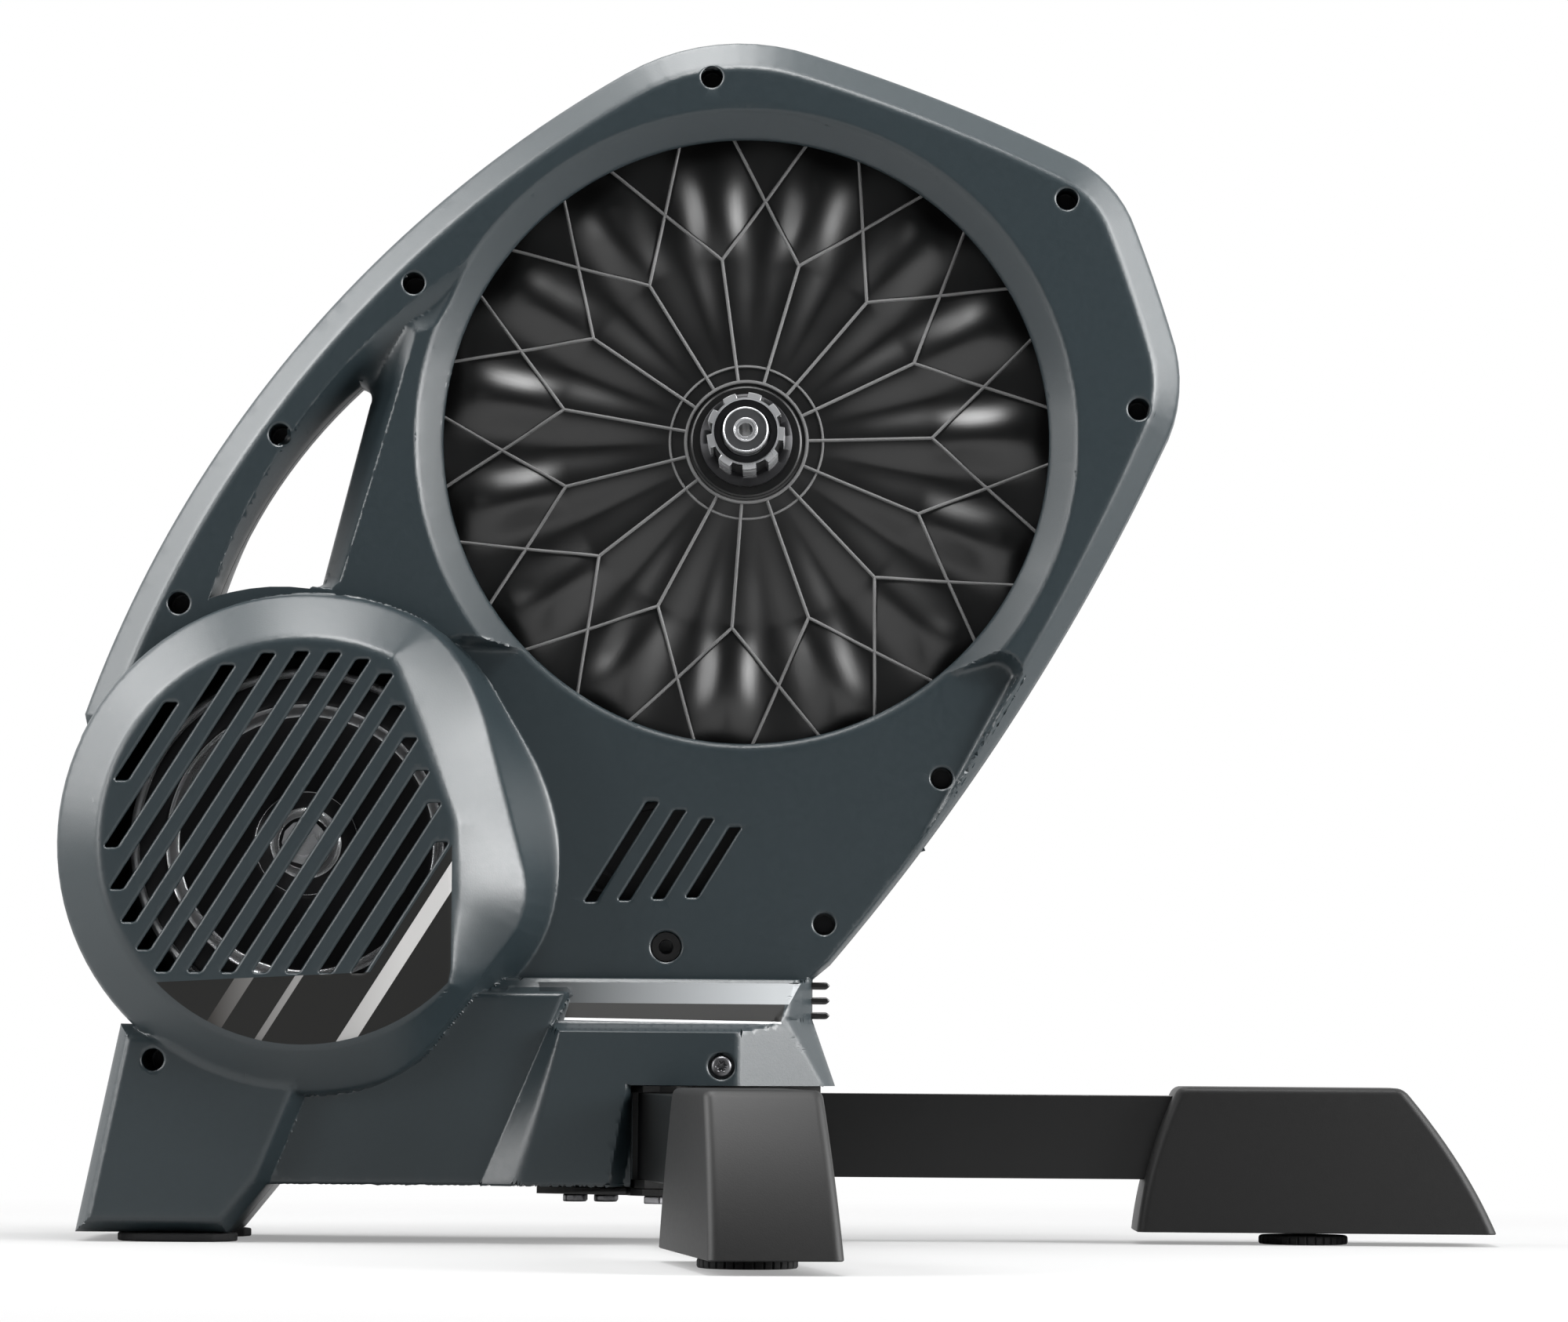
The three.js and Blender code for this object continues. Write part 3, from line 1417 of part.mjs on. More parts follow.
function magnetCarrier() {
  const steps = carrierSteps;
  const points = [];
  for (const [radius, from, to] of [[carrierOuter, 1, 0], [carrierInner, 0, 1]]) {
    for (let i = 0; i <= steps; i += 1) {
      const angle = carrierStart + carrierSweep * (from + ((to - from) * i) / steps);
      points.push(outlinePoint(flywheelCentre, radius, angle));
    }
  }
  const plate = prism(points, carrierDepth, carrierDepth + carrierThickness);
  const holes = [...guideAngles, motorAngle].map((degrees) => {
    const place = onOrbit(flywheelCentre, magnetOrbit, degrees);
    return roundPin(place, guideRadius + clearance, 0, carrierDepth + overrun);
  });
  return cutAll(plate, holes);
}

function louvre() {
  const back = arcChain([
    [louvreRear, louvreTop],
    [baseFront - wall, louvreTop],
    [baseFront - wall, louvreBottom],
    [louvreRear, louvreBottom],
  ]);
  const fins = [];
  const pitch = (louvreTop - louvreBottom - finThickness) / (finCount - 1);
  for (let i = 0; i < finCount; i += 1) {
    const low = louvreBottom + pitch * i;
    fins.push(prism(arcChain([
      [louvreRear, low + finThickness],
      [louvreFront - finThickness / 2, low + finThickness],
      [louvreFront, low + finThickness / 2],
      [louvreFront - finThickness / 2, low],
      [louvreRear, low],
    ]), -louvreHalfWidth, louvreHalfWidth));
  }
  return union([prism(back, -louvreHalfWidth, louvreHalfWidth), ...fins]);
}

function coverScrew(place) {
  const seat = bossFloorDepth + clearance;
  return roundPin(place, screwHeadRadius, seat, seat + screwHeadHeight)
    .add(roundPin(place, screwShankRadius, seat - screwLength, seat + clearance, coreSteps));
}

function baseScrew() {
  const place = { x: baseScrewX, z: baseScrewZ };
  const seat = blockDepth - screwHeadHeight + clearance;
  return roundPin(place, screwHoleRadius, seat, blockDepth - clearance)
    .add(roundPin(place, screwShankRadius, seat - screwLength / 2, seat + clearance, coreSteps));
}

// A bearing as one ring, from the bore of its inner race to the outside of its outer race.
function bearing(centre, boreRadius, outerRadius, depth) {
  return ring(centre, boreRadius + clearance, outerRadius, depth, depth + bearingWidth);
}

function driveEndCap() {
  return ring(axle, axleTipRadius + clearance, capRadius, axleDriveEnd + clearance, capDriveEnd, shownSteps);
}

function leftEndCap() {
  return turned([
    [axleRadius + clearance, -plateBossEnd - clearance],
    [capFlangeRadius, -plateBossEnd - clearance],
    [capFlangeRadius, -axleLeftEnd + hubBevel],
    [capRadius, -axleLeftEnd - clearance],
    [capRadius, -capLeftEnd],
    [axleTipRadius + clearance, -capLeftEnd],
    [axleTipRadius + clearance, -axleLeftEnd - clearance],
    [axleRadius + clearance, -axleLeftEnd - clearance],
  ], axle);
}

function brakeMagnet(degrees) {
  const near = carrierDepth + carrierThickness + clearance;
  return roundPin(onOrbit(flywheelCentre, magnetOrbit, degrees), magnetRadius, near, near + magnetThickness);
}

function brakeMotor() {
  const place = onOrbit(flywheelCentre, magnetOrbit, motorAngle);
  return roundPin(place, motorRadius, -plateNear + clearance, motorLength, roundSteps);
}

function brakeScrew() {
  const place = onOrbit(flywheelCentre, magnetOrbit, motorAngle);
  const end = carrierDepth + carrierThickness + magnetThickness;
  return roundPin(place, screwShaftRadius, motorLength + clearance, end);
}

function tensionerIdler(place) {
  return ring(place, idlerBore, idlerRadius, beltDepth, beltDepth + beltWidth);
}

// The power socket sits in a sleeve behind the round hole of the lower deck.
function jackEnd() {
  return deckDepth - jackRecess - jackLength;
}

function powerJack() {
  return ring(plugHole, jackBore, plugHoleRadius - clearance, jackEnd(), deckDepth - jackRecess);
}

function bracketBolt({ x, y }) {
  const seat = baseBottom - 3 * clearance - bracketThickness;
  return uprightRod(x, y, seat - boltHeadHeight, seat, bracketBoltHead)
    .add(uprightRod(x, y, seat - bite, beamBottom - clearance, bracketBoltRadius));
}

function addHub() {
  addPiece('axle', axlePiece(), 'steel');
  addPiece('driven_pulley', drivenPulley(), 'blackGloss');
  addPiece('hub_bearing_drive', bearing(axle, axleRadius, bearingOuterRadius, driveBearingDepth), 'steel');
  addPiece('hub_bearing_left', bearing(axle, axleRadius, bearingOuterRadius, leftBearingDepth), 'steel');
  addPiece('freehub_body', freehubBody(), 'steel');
  addPiece('freehub_bearing', bearing(axle, axleRadius, freehubBore - clearance,
    freehubEnd - 2 * bearingWidth), 'darkSteel');
  addPiece('drive_end_cap', driveEndCap(), 'steel');
  addPiece('left_end_cap', leftEndCap(), 'steel');
  addPiece('drive_belt', driveBelt(), 'rubber');
}

function addFlywheel() {
  addPiece('flywheel', flywheelPiece(), 'steel');
  addPiece('flywheel_shaft', flywheelShaft(), 'steel');
  addPiece('shaft_bearing_drive', bearing(flywheelCentre, shaftRadius, shaftBearingRadius,
    bridgeDepth), 'steel');
  addPiece('shaft_bearing_left', bearing(flywheelCentre, shaftRadius, shaftBearingRadius,
    -plateNear - bearingWidth), 'steel');
  const idler = idlerCentre();
  addPiece('tensioner_idler', tensionerIdler(idler), 'steel');
  addPiece('tensioner_arm', tensionerArm(idler), 'darkSteel');
  addPiece('tensioner_bolt', tensionerBolt(idler), 'steel');
}

function addBrake() {
  addPiece('magnet_carrier', magnetCarrier(), 'darkSteel');
  magnetAngles.forEach((degrees, i) => {
    addPiece(`brake_magnet_${i + 1}`, brakeMagnet(degrees), 'steel');
  });
  addPiece('brake_motor', brakeMotor(), 'darkSteel');
  addPiece('brake_screw', brakeScrew(), 'steel');
  addPiece('circuit_board', circuitBoard(), 'board');
  addPiece('power_jack', powerJack(), 'blackGloss');
}

// One leg with what it turns on: side -1 is the drive side's, which stands open.
function addLeg(side) {
  const hand = side < 0 ? 'drive' : 'left';
  addPiece(`pivot_bolt_${hand}`, pivotBolt(side), 'steel');
  addPiece(`pivot_nut_${hand}`, pivotNut(side), 'steel');
  addPiece(`pivot_bush_${hand}`, pivotBush(side), 'blackGloss');
  addPiece(`rear_pad_${hand}`, rearPad(side), 'rubber');
  const leg = new THREE.Group();
  leg.position.set(pivotX, side * pivotY, 0);
  leg.rotation.z = side < 0 ? -openAngle : 0;
  addPiece(`leg_tube_${hand}`, legTube(), 'blackPaint', leg);
  addPiece(`leg_foot_${hand}`, legFoot(), 'footPlastic', leg);
  addPiece(`leg_pad_${hand}`, legPad(), 'rubber', leg);
  trainer.add(leg);
}

addPiece('drive_side_cover', driveSideCover(), 'slate');
addPiece('left_side_cover', leftSideCover(), 'slate');
addPiece('front_louvre', louvre(), 'blackGloss');
addPiece('main_frame', mainFrame(), 'darkSteel');
addPiece('base_beam', baseBeam(), 'blackPaint');
addPiece('leg_bracket', legBracket(), 'blackPaint');
addPiece('shaft_bridge', bridge(), 'darkSteel');
addHub();
addFlywheel();
addBrake();
addLeg(-1);
addLeg(1);
for (const place of bracketBoltPlaces) addPiece(`bracket_bolt_${place.name}`, bracketBolt(place), 'steel');
for (const place of screwPlaces()) addPiece(`cover_screw_${place.name}`, coverScrew(place), 'darkSteel');
addPiece('base_screw', baseScrew(), 'darkSteel');

// The origin is the middle of the whole trainer's footprint, on the floor.
trainer.updateMatrixWorld(true);
const box = new THREE.Box3().setFromObject(trainer, true);
trainer.position.set(-(box.min.x + box.max.x) / 2, -(box.min.y + box.max.y) / 2, -box.min.z);

export default trainer;
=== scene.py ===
# %% [markdown]
# # A direct drive bike trainer
# This stand takes the place of a bicycle's rear wheel: the chain drives a cassette on its hub, a large
# ribbed pulley drives a belt, and the belt drives a braked flywheel behind a slatted grille.
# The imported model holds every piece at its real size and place. This lesson keeps those places and gives
# each piece that shows its finished surface and material.

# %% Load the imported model
import json
import math
import bmesh
import bpy
import numpy as np
from mathutils import Matrix, Vector
from mathutils.geometry import delaunay_2d_cdt

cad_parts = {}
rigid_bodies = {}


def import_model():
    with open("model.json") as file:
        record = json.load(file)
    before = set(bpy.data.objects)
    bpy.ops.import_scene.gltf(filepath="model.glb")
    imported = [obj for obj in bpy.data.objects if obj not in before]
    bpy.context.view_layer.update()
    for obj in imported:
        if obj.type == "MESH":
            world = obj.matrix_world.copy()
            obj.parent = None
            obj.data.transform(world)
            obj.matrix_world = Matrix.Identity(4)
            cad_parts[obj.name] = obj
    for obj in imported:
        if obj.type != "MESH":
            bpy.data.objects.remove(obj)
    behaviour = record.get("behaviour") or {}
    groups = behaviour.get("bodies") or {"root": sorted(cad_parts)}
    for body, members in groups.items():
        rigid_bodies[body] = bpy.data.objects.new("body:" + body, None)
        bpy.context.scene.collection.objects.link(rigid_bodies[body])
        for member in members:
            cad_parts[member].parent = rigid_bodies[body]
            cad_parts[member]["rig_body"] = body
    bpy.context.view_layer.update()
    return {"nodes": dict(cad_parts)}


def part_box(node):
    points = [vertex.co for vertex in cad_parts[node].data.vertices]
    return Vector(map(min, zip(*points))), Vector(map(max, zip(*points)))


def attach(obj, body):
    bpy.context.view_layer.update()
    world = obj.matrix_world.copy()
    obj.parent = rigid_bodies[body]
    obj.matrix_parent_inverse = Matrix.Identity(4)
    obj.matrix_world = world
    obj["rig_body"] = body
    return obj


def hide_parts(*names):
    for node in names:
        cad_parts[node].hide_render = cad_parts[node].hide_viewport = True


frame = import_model()

# %% [markdown]
# The shapes below are easier to think about in the trainer's own terms: x in front of the axle, z above
# the floor, and depth out from the middle plane towards the drive side, all in millimetres.
# The axle, the middle plane and the flywheel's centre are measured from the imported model, so that nothing
# has to be fitted afterwards.

# %% Measure the places that everything follows
MM = 0.001


def middle_of(node):
    low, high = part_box(node)
    return (low + high) / 2


AXLE_X = middle_of("driven_pulley").x
AXLE_HEIGHT = middle_of("driven_pulley").z / MM
MIDDLE_Y = middle_of("base_beam").y
FLYWHEEL_X = (middle_of("flywheel").x - AXLE_X) / MM
FLYWHEEL_HEIGHT = middle_of("flywheel").z / MM
AXLE = np.array([0.0, AXLE_HEIGHT])
FLYWHEEL = np.array([FLYWHEEL_X, FLYWHEEL_HEIGHT])
print("axle at", round(AXLE_X, 5), "height", round(AXLE_HEIGHT, 2), "flywheel", FLYWHEEL.round(2))


def in_frame(x, depth, z):
    """Millimetres in the trainer's terms as metres in the frame: x is shifted to the axle, depth counts
    against y from the middle plane, and z stays."""
    x, depth, z = np.broadcast_arrays(x, depth, z)
    return np.stack([AXLE_X + x * MM, MIDDLE_Y - depth * MM, z * MM], axis=-1)


# %% [markdown]
# The photograph was taken from low down and far away with a long lens, so the lens is long here too.
# The camera sits a hand's breadth above the floor, looks up a little and leans by half a degree.

# %% Place the camera
IMAGE_WIDTH = 2000
FOCAL_PIXELS = 8253
SENSOR = 36
camera_data = bpy.data.cameras.new("camera")
camera_data.sensor_width = SENSOR
camera_data.lens = FOCAL_PIXELS / IMAGE_WIDTH * SENSOR
camera_data.clip_end = 100
camera = bpy.data.objects.new("camera", camera_data)
bpy.context.scene.collection.objects.link(camera)
CAMERA_FORWARD, CAMERA_OUT, CAMERA_RISE = 17.9, 2950, 92.2
LOOK_UP = math.radians(3.346)
CAMERA_LEAN = 0.0079
camera_place = Vector(in_frame(CAMERA_FORWARD, CAMERA_OUT, CAMERA_RISE))
turn = Matrix.Rotation(math.pi / 2 + LOOK_UP, 4, "X") @ Matrix.Rotation(CAMERA_LEAN, 4, "Z")
camera.matrix_world = Matrix.Translation(camera_place) @ turn
bpy.context.scene.camera = camera
print("lens", round(camera_data.lens, 1), "mm")

# %% [markdown]
# A white studio: the background is white where the camera looks at it, or where a reflection goes past the
# trainer to the backdrop. The room behind the camera is dark, so the flat faces stay deep.
# Large soft boxes above and at both sides, placed level with the trainer or in front of it, light the
# slanted faces. Their power is low enough that no pale surface clips.

# %% Light the studio
def set_inputs(tree, node, values):
    """Sets a node's inputs; a value that is a socket is linked."""
    for name, value in values.items():
        if isinstance(value, bpy.types.NodeSocket):
            tree.links.new(value, node.inputs[name])
        else:
            node.inputs[name].default_value = value


def add_node(tree, kind, values=None, **settings):
    """A shader node with its settings made and then its inputs set."""
    node = tree.nodes.new("ShaderNode" + kind)
    for setting, value in settings.items():
        setattr(node, setting, value)
    set_inputs(tree, node, values or {})
    return node


def math_node(tree, operation, first, second):
    """The result of a Math node; each operand is a socket or a number."""
    return add_node(tree, "Math", {0: first, 1: second}, operation=operation).outputs[0]


WHITE = (1, 1, 1, 1)
DARK_ROOM = (0.07, 0.072, 0.075, 1)
scene = bpy.context.scene
scene.view_settings.view_transform = "Standard"
world = bpy.data.worlds.new("studio")
scene.world = world
world.use_nodes = True
world_tree = world.node_tree
direction = add_node(world_tree, "SeparateXYZ", {0: add_node(world_tree, "TexCoord").outputs["Generated"]})
backdrop = add_node(world_tree, "MapRange", {
    "Value": direction.outputs["Y"], "From Min": -0.25, "From Max": 0.35}, interpolation_type="SMOOTHSTEP")
ray = add_node(world_tree, "LightPath").outputs
sees_backdrop = math_node(world_tree, "MULTIPLY", ray["Is Glossy Ray"], backdrop.outputs["Result"])
sees_white = math_node(world_tree, "MAXIMUM", ray["Is Camera Ray"], sees_backdrop)
sees_white = math_node(world_tree, "MAXIMUM", sees_white, ray["Is Transmission Ray"])
world_mix = add_node(world_tree, "Mix", {
    "A": DARK_ROOM, "B": WHITE, "Factor": sees_white}, data_type="RGBA")
set_inputs(world_tree, world_tree.nodes["Background"], {"Color": world_mix.outputs["Result"]})

SOFT_BOXES = {
    "box_above": {"place": (-0.2, 0.12, 1.9), "size": (2.0, 0.7), "watts": 30},
    "box_above_front": {"place": (0.1, -0.5, 2.0), "size": (1.2, 0.25), "watts": 20},
    "box_left": {"place": (-2.0, 0.1, 1.0), "size": (0.9, 1.2), "watts": 25},
    "box_left_high": {"place": (-1.5, 0.05, 1.7), "size": (0.9, 0.8), "watts": 24},
    "box_left_front": {"place": (-1.75, -0.9, 0.6), "size": (0.5, 0.9), "watts": 14},
    "box_right": {"place": (2.0, 0.05, 0.8), "size": (1.0, 1.3), "watts": 32},
    "box_right_high": {"place": (1.5, 0.05, 1.6), "size": (0.8, 0.8), "watts": 18},
    "box_right_front": {"place": (1.85, -0.7, 0.6), "size": (0.6, 1.0), "watts": 40},
}
AIM = Vector((-0.05, 0.15, 0.25))
for name, box in SOFT_BOXES.items():
    data = bpy.data.lights.new(name, "AREA")
    data.shape = "RECTANGLE"
    data.size, data.size_y = box["size"]
    data.energy = box["watts"]
    lamp = bpy.data.objects.new(name, data)
    place = Vector(box["place"])
    facing = (AIM - place).to_track_quat("-Z", "Y").to_matrix().to_4x4()
    lamp.matrix_world = Matrix.Translation(place) @ facing
    scene.collection.objects.link(lamp)
print("soft boxes", len(SOFT_BOXES))

# %% [markdown]
# The helpers that build meshes come next. A surface is worked out as whole arrays and put into the mesh
# in one go, and a piece is bound to the body it moves with, while the nodes that it stands for are hidden.

# %% Helpers that turn arrays into pieces
SMOOTH_ANGLE = math.radians(38)


def new_mesh(name, vertices, faces, sharp_angle=SMOOTH_ANGLE):
    """A mesh from an array of points and lists of corner numbers, smooth but for edges over an angle."""
    mesh = bpy.data.meshes.new(name)
    mesh.from_pydata(vertices.tolist(), [], np.asarray(faces).tolist())
    mesh.update()
    mesh.shade_smooth()
    mesh.set_sharp_from_angle(angle=sharp_angle)
    return mesh


def add_piece(name, mesh, materials, body, slot, *nodes):
    """Links a mesh as a piece of the trainer that rides on a body and stands for some nodes."""
    piece = bpy.data.objects.new(name, mesh)
    scene.collection.objects.link(piece)
    for material in materials if isinstance(materials, (list, tuple)) else [materials]:
        mesh.materials.append(material)
    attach(piece, body)
    if nodes:
        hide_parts(*nodes)
    return piece


def grid_faces(rows, columns, closed_rows=False, closed_columns=True):
    """Quads between neighbouring points of a grid that is stored row by row."""
    row = np.arange(rows if closed_rows else rows - 1)
    column = np.arange(columns if closed_columns else columns - 1)
    a_row, a_column = np.meshgrid(row, column, indexing="ij")
    b_row = (a_row + 1) % rows
    b_column = (a_column + 1) % columns
    return np.stack([
        a_row * columns + a_column,
        a_row * columns + b_column,
        b_row * columns + b_column,
        b_row * columns + a_column,
    ], axis=-1).reshape(-1, 4)


# %% [markdown]
# Turned parts such as the caps and the flywheel are a profile carried round an axis. The profile's corners
# get small rounds, because a real turned edge always catches a thin line of light.

# %% Profiles and turned pieces
def rounded_profile(corners, steps=3):
    """A closed profile of (radius, depth, rounding): each corner is cut back by its rounding along both
    sides, and a quadratic curve through the corner joins the two cuts."""
    points = np.array([corner[:2] for corner in corners], dtype=float)
    cuts = np.array([corner[2] if len(corner) > 2 else 0.0 for corner in corners])
    before = np.roll(points, 1, axis=0) - points
    after = np.roll(points, -1, axis=0) - points
    length_before = np.maximum(np.linalg.norm(before, axis=1), 1e-9)
    length_after = np.maximum(np.linalg.norm(after, axis=1), 1e-9)
    cut_before = np.minimum(cuts, 0.45 * length_before)
    cut_after = np.minimum(cuts, 0.45 * length_after)
    start = points + before / length_before[:, None] * cut_before[:, None]
    end = points + after / length_after[:, None] * cut_after[:, None]
    share = np.linspace(0, 1, steps + 1)[None, :, None]
    curve = ((1 - share) ** 2 * start[:, None] + 2 * share * (1 - share) * points[:, None]
             + share ** 2 * end[:, None])
    rounded = cuts > 0
    return [point for k, keep in enumerate(rounded) for point in (curve[k] if keep else points[k:k + 1])]


def turned_mesh(name, corners, centre, steps=96, sharp_angle=SMOOTH_ANGLE):
    """A closed profile of (radius, depth, rounding) turned round the Y axis through a centre: each point
    goes to centre + radius * (cos angle, sin angle) at its own depth. Points on the axis are merged."""
    profile = np.array(rounded_profile(corners))
    angle = np.linspace(0, 2 * np.pi, steps, endpoint=False)
    x = centre[0] + profile[:, :1] * np.cos(angle)
    z = centre[1] + profile[:, :1] * np.sin(angle)
    depth = np.broadcast_to(profile[:, 1:], x.shape)
    vertices = in_frame(x, depth, z).reshape(-1, 3)
    mesh = new_mesh(name, vertices, grid_faces(len(profile), steps, closed_rows=True), sharp_angle)
    return outward(mesh, sharp_angle)


def outward(mesh, sharp_angle=SMOOTH_ANGLE):
    """Merges points that coincide and turns all faces outwards."""
    work = bmesh.new()
    work.from_mesh(mesh)
    bmesh.ops.remove_doubles(work, verts=work.verts, dist=1e-6)
    bmesh.ops.dissolve_degenerate(work, edges=work.edges, dist=1e-7)
    bmesh.ops.recalc_face_normals(work, faces=work.faces)
    work.to_mesh(mesh)
    work.free()
    mesh.shade_smooth()
    mesh.set_sharp_from_angle(angle=sharp_angle)
    return mesh

# %% [markdown]
# Every surface of the trainer is moulded, painted, turned or rubber, and each shows a fine structure of
# its own. Two effects come back in all of them: a grain that stands up from the surface, and a mottle
# that makes colour and gloss uneven. Each is a node group, built once.

# %% Node groups for grain and mottle
def new_group(name, inputs, outputs):
    """An empty shader group with named sockets: each is a name, a socket type and a first value."""
    group = bpy.data.node_groups.new(name, "ShaderNodeTree")
    for socket_name, kind, value in inputs:
        socket = group.interface.new_socket(name=socket_name, in_out="INPUT", socket_type=kind)
        if value is not None:
            socket.default_value = value
    for socket_name, kind in outputs:
        group.interface.new_socket(name=socket_name, in_out="OUTPUT", socket_type=kind)
    return group, group.nodes.new("NodeGroupInput"), group.nodes.new("NodeGroupOutput")


def build_grain():
    """Height = fine noise plus a share of a noise five times as coarse, both read at Scale."""
    group, source, sink = new_group("grain", [
        ("Vector", "NodeSocketVector", None), ("Scale", "NodeSocketFloat", 1500.0),
        ("Coarse", "NodeSocketFloat", 0.3),
    ], [("Height", "NodeSocketFloat")])
    place, scale = source.outputs["Vector"], source.outputs["Scale"]
    coarse_scale = math_node(group, "MULTIPLY", scale, 0.2)
    fine = add_node(group, "TexNoise", {"Detail": 2, "Vector": place, "Scale": scale})
    coarse = add_node(group, "TexNoise", {"Detail": 1, "Vector": place, "Scale": coarse_scale})
    part = math_node(group, "MULTIPLY", coarse.outputs["Fac"], source.outputs["Coarse"])
    set_inputs(group, sink, {"Height": math_node(group, "ADD", fine.outputs["Fac"], part)})
    return group


def build_mottle():
    """Colour = Base made lighter or darker by a soft noise; Roughness = Gloss moved the same way."""
    group, source, sink = new_group("mottle", [
        ("Vector", "NodeSocketVector", None), ("Base", "NodeSocketColor", (0.5, 0.5, 0.5, 1)),
        ("Gloss", "NodeSocketFloat", 0.5), ("Amount", "NodeSocketFloat", 0.1),
        ("Scale", "NodeSocketFloat", 14.0),
    ], [("Color", "NodeSocketColor"), ("Roughness", "NodeSocketFloat")])
    given = source.outputs
    noise = add_node(group, "TexNoise", {"Detail": 4, "Vector": given["Vector"], "Scale": given["Scale"]})
    centred = math_node(group, "SUBTRACT", noise.outputs["Fac"], 0.5)
    factor = math_node(group, "ADD", math_node(group, "MULTIPLY", centred, given["Amount"]), 1.0)
    scaled = add_node(group, "VectorMath", {0: given["Base"], "Scale": factor}, operation="SCALE")
    set_inputs(group, sink, {
        "Color": scaled.outputs[0], "Roughness": math_node(group, "MULTIPLY", given["Gloss"], factor)})
    return group


GRAIN = build_grain()
MOTTLE = build_mottle()


def linear(red, green, blue):
    """A colour as painters' charts give it, 0 to 255, as the linear values that a shader takes."""
    value = np.array([red, green, blue]) / 255
    return tuple(np.where(value <= 0.04045, value / 12.92, ((value + 0.055) / 1.055) ** 2.4)) + (1.0,)


def finish(name, colour, roughness, grain, relief, mottle=0.12, mottle_scale=14.0, metallic=0.0,
           specular=0.5):
    """A material: mottled colour and gloss, and a grain of so many bumps a metre and a relief in
    millimetres."""
    material = bpy.data.materials.new(name)
    material.use_nodes = True
    tree = material.node_tree
    place = add_node(tree, "TexCoord").outputs["Object"]
    uneven = add_node(tree, "Group", {
        "Vector": place, "Base": colour, "Gloss": roughness, "Amount": mottle, "Scale": mottle_scale,
    }, node_tree=MOTTLE)
    grained = add_node(tree, "Group", {"Vector": place, "Scale": grain}, node_tree=GRAIN)
    bump = add_node(tree, "Bump", {
        "Strength": 1.0, "Distance": relief * MM, "Height": grained.outputs["Height"]})
    set_inputs(tree, tree.nodes["Principled BSDF"], {
        "Metallic": metallic, "Specular IOR Level": specular, "Base Color": uneven.outputs["Color"],
        "Roughness": uneven.outputs["Roughness"], "Normal": bump.outputs["Normal"]})
    return material


SLATE = finish("slate_plastic", linear(32, 42, 46), 0.37, 1300, 0.025, mottle=0.22, mottle_scale=420,
               specular=0.7)
FOOT_PLASTIC = finish("foot_plastic", linear(27, 27, 27), 0.46, 1500, 0.03, mottle=0.15, mottle_scale=500,
                      specular=0.25)
GLOSS_BLACK = finish("black_gloss_plastic", linear(5, 5, 5), 0.32, 500, 0.012, mottle=0.35, mottle_scale=40,
                     specular=0.75)
# Painted highlight: the ribs are moulded in the pulley's black, and this lighter grey stands in for the
# light that catches their edges.
RIB_PAINTED_HIGHLIGHT = finish("rib_plastic", linear(112, 112, 112), 0.42, 900, 0.02)
BLACK_PAINT = finish("black_paint", linear(13, 13, 13), 0.3, 700, 0.015, mottle=0.2)
FRAME_STEEL = finish("frame_steel", linear(38, 38, 40), 0.42, 700, 0.02)
BRIGHT_STEEL = finish("bright_steel", linear(205, 206, 208), 0.27, 2200, 0.006, mottle=0.2,
                      metallic=0.75)
ZINC_STEEL = finish("zinc_steel", linear(112, 112, 114), 0.34, 1800, 0.01, mottle=0.25, metallic=1)
# Black steel, and also painted shade in the freehub's spline grooves and bore.
BLACK_STEEL_AND_SHADE = finish("black_steel", linear(28, 28, 30), 0.33, 1200, 0.012, metallic=0.6)
RUBBER = finish("rubber", linear(26, 26, 27), 0.8, 900, 0.05)
BELT_RUBBER = finish("belt_rubber", linear(22, 22, 23), 0.7, 1100, 0.05)
LAMINATE = finish("board_laminate", linear(28, 74, 44), 0.5, 500, 0.02, mottle=0.3)
PRINT_BLACK = finish("print_black", linear(28, 28, 27), 0.5, 1500, 0.01, specular=0.25)
PRINT_WHITE = finish("print_white", linear(225, 226, 227), 0.5, 1500, 0.01, specular=0.25)


def fading_print(name, dark, light, start, end):
    """A print that fades from one grey to another between two places along x, in millimetres."""
    material = finish(name, light, 0.5, 1500, 0.01, specular=0.25)
    tree = material.node_tree
    place = add_node(tree, "SeparateXYZ", {0: add_node(tree, "TexCoord").outputs["Object"]})
    ramp = add_node(tree, "MapRange", {
        "Value": place.outputs["X"], "From Min": AXLE_X + start * MM, "From Max": AXLE_X + end * MM})
    blend = add_node(tree, "Mix", {
        "A": dark, "B": light, "Factor": ramp.outputs["Result"]}, data_type="RGBA")
    uneven = next(node for node in tree.nodes if node.type == "GROUP" and node.node_tree == MOTTLE)
    set_inputs(tree, uneven, {"Base": blend.outputs["Result"]})
    return material


SILVER_FACE = fading_print("silver_on_face", linear(52, 50, 48), linear(186, 185, 184), -235, -150)
SILVER_STRIP = fading_print("silver_on_strip", linear(26, 32, 35), linear(158, 161, 163), -85, 15)
SLOT_FINISH = {
    "slate_plastic": SLATE, "foot_plastic": FOOT_PLASTIC, "black_gloss_plastic": GLOSS_BLACK,
    "black_paint": BLACK_PAINT, "frame_steel": FRAME_STEEL, "bright_steel": BRIGHT_STEEL,
    "zinc_steel": ZINC_STEEL, "black_steel": BLACK_STEEL_AND_SHADE, "rubber": RUBBER, "belt_rubber": BELT_RUBBER,
    "board_laminate": LAMINATE,
}
print("finishes", len(bpy.data.materials))

# %% [markdown]
# The floor is one pale sheet. Where the camera looks at it far from the trainer it is as white as the
# background, so no horizon shows, and close to the trainer it keeps most of its real shading: that is the
# soft shadow under the feet.

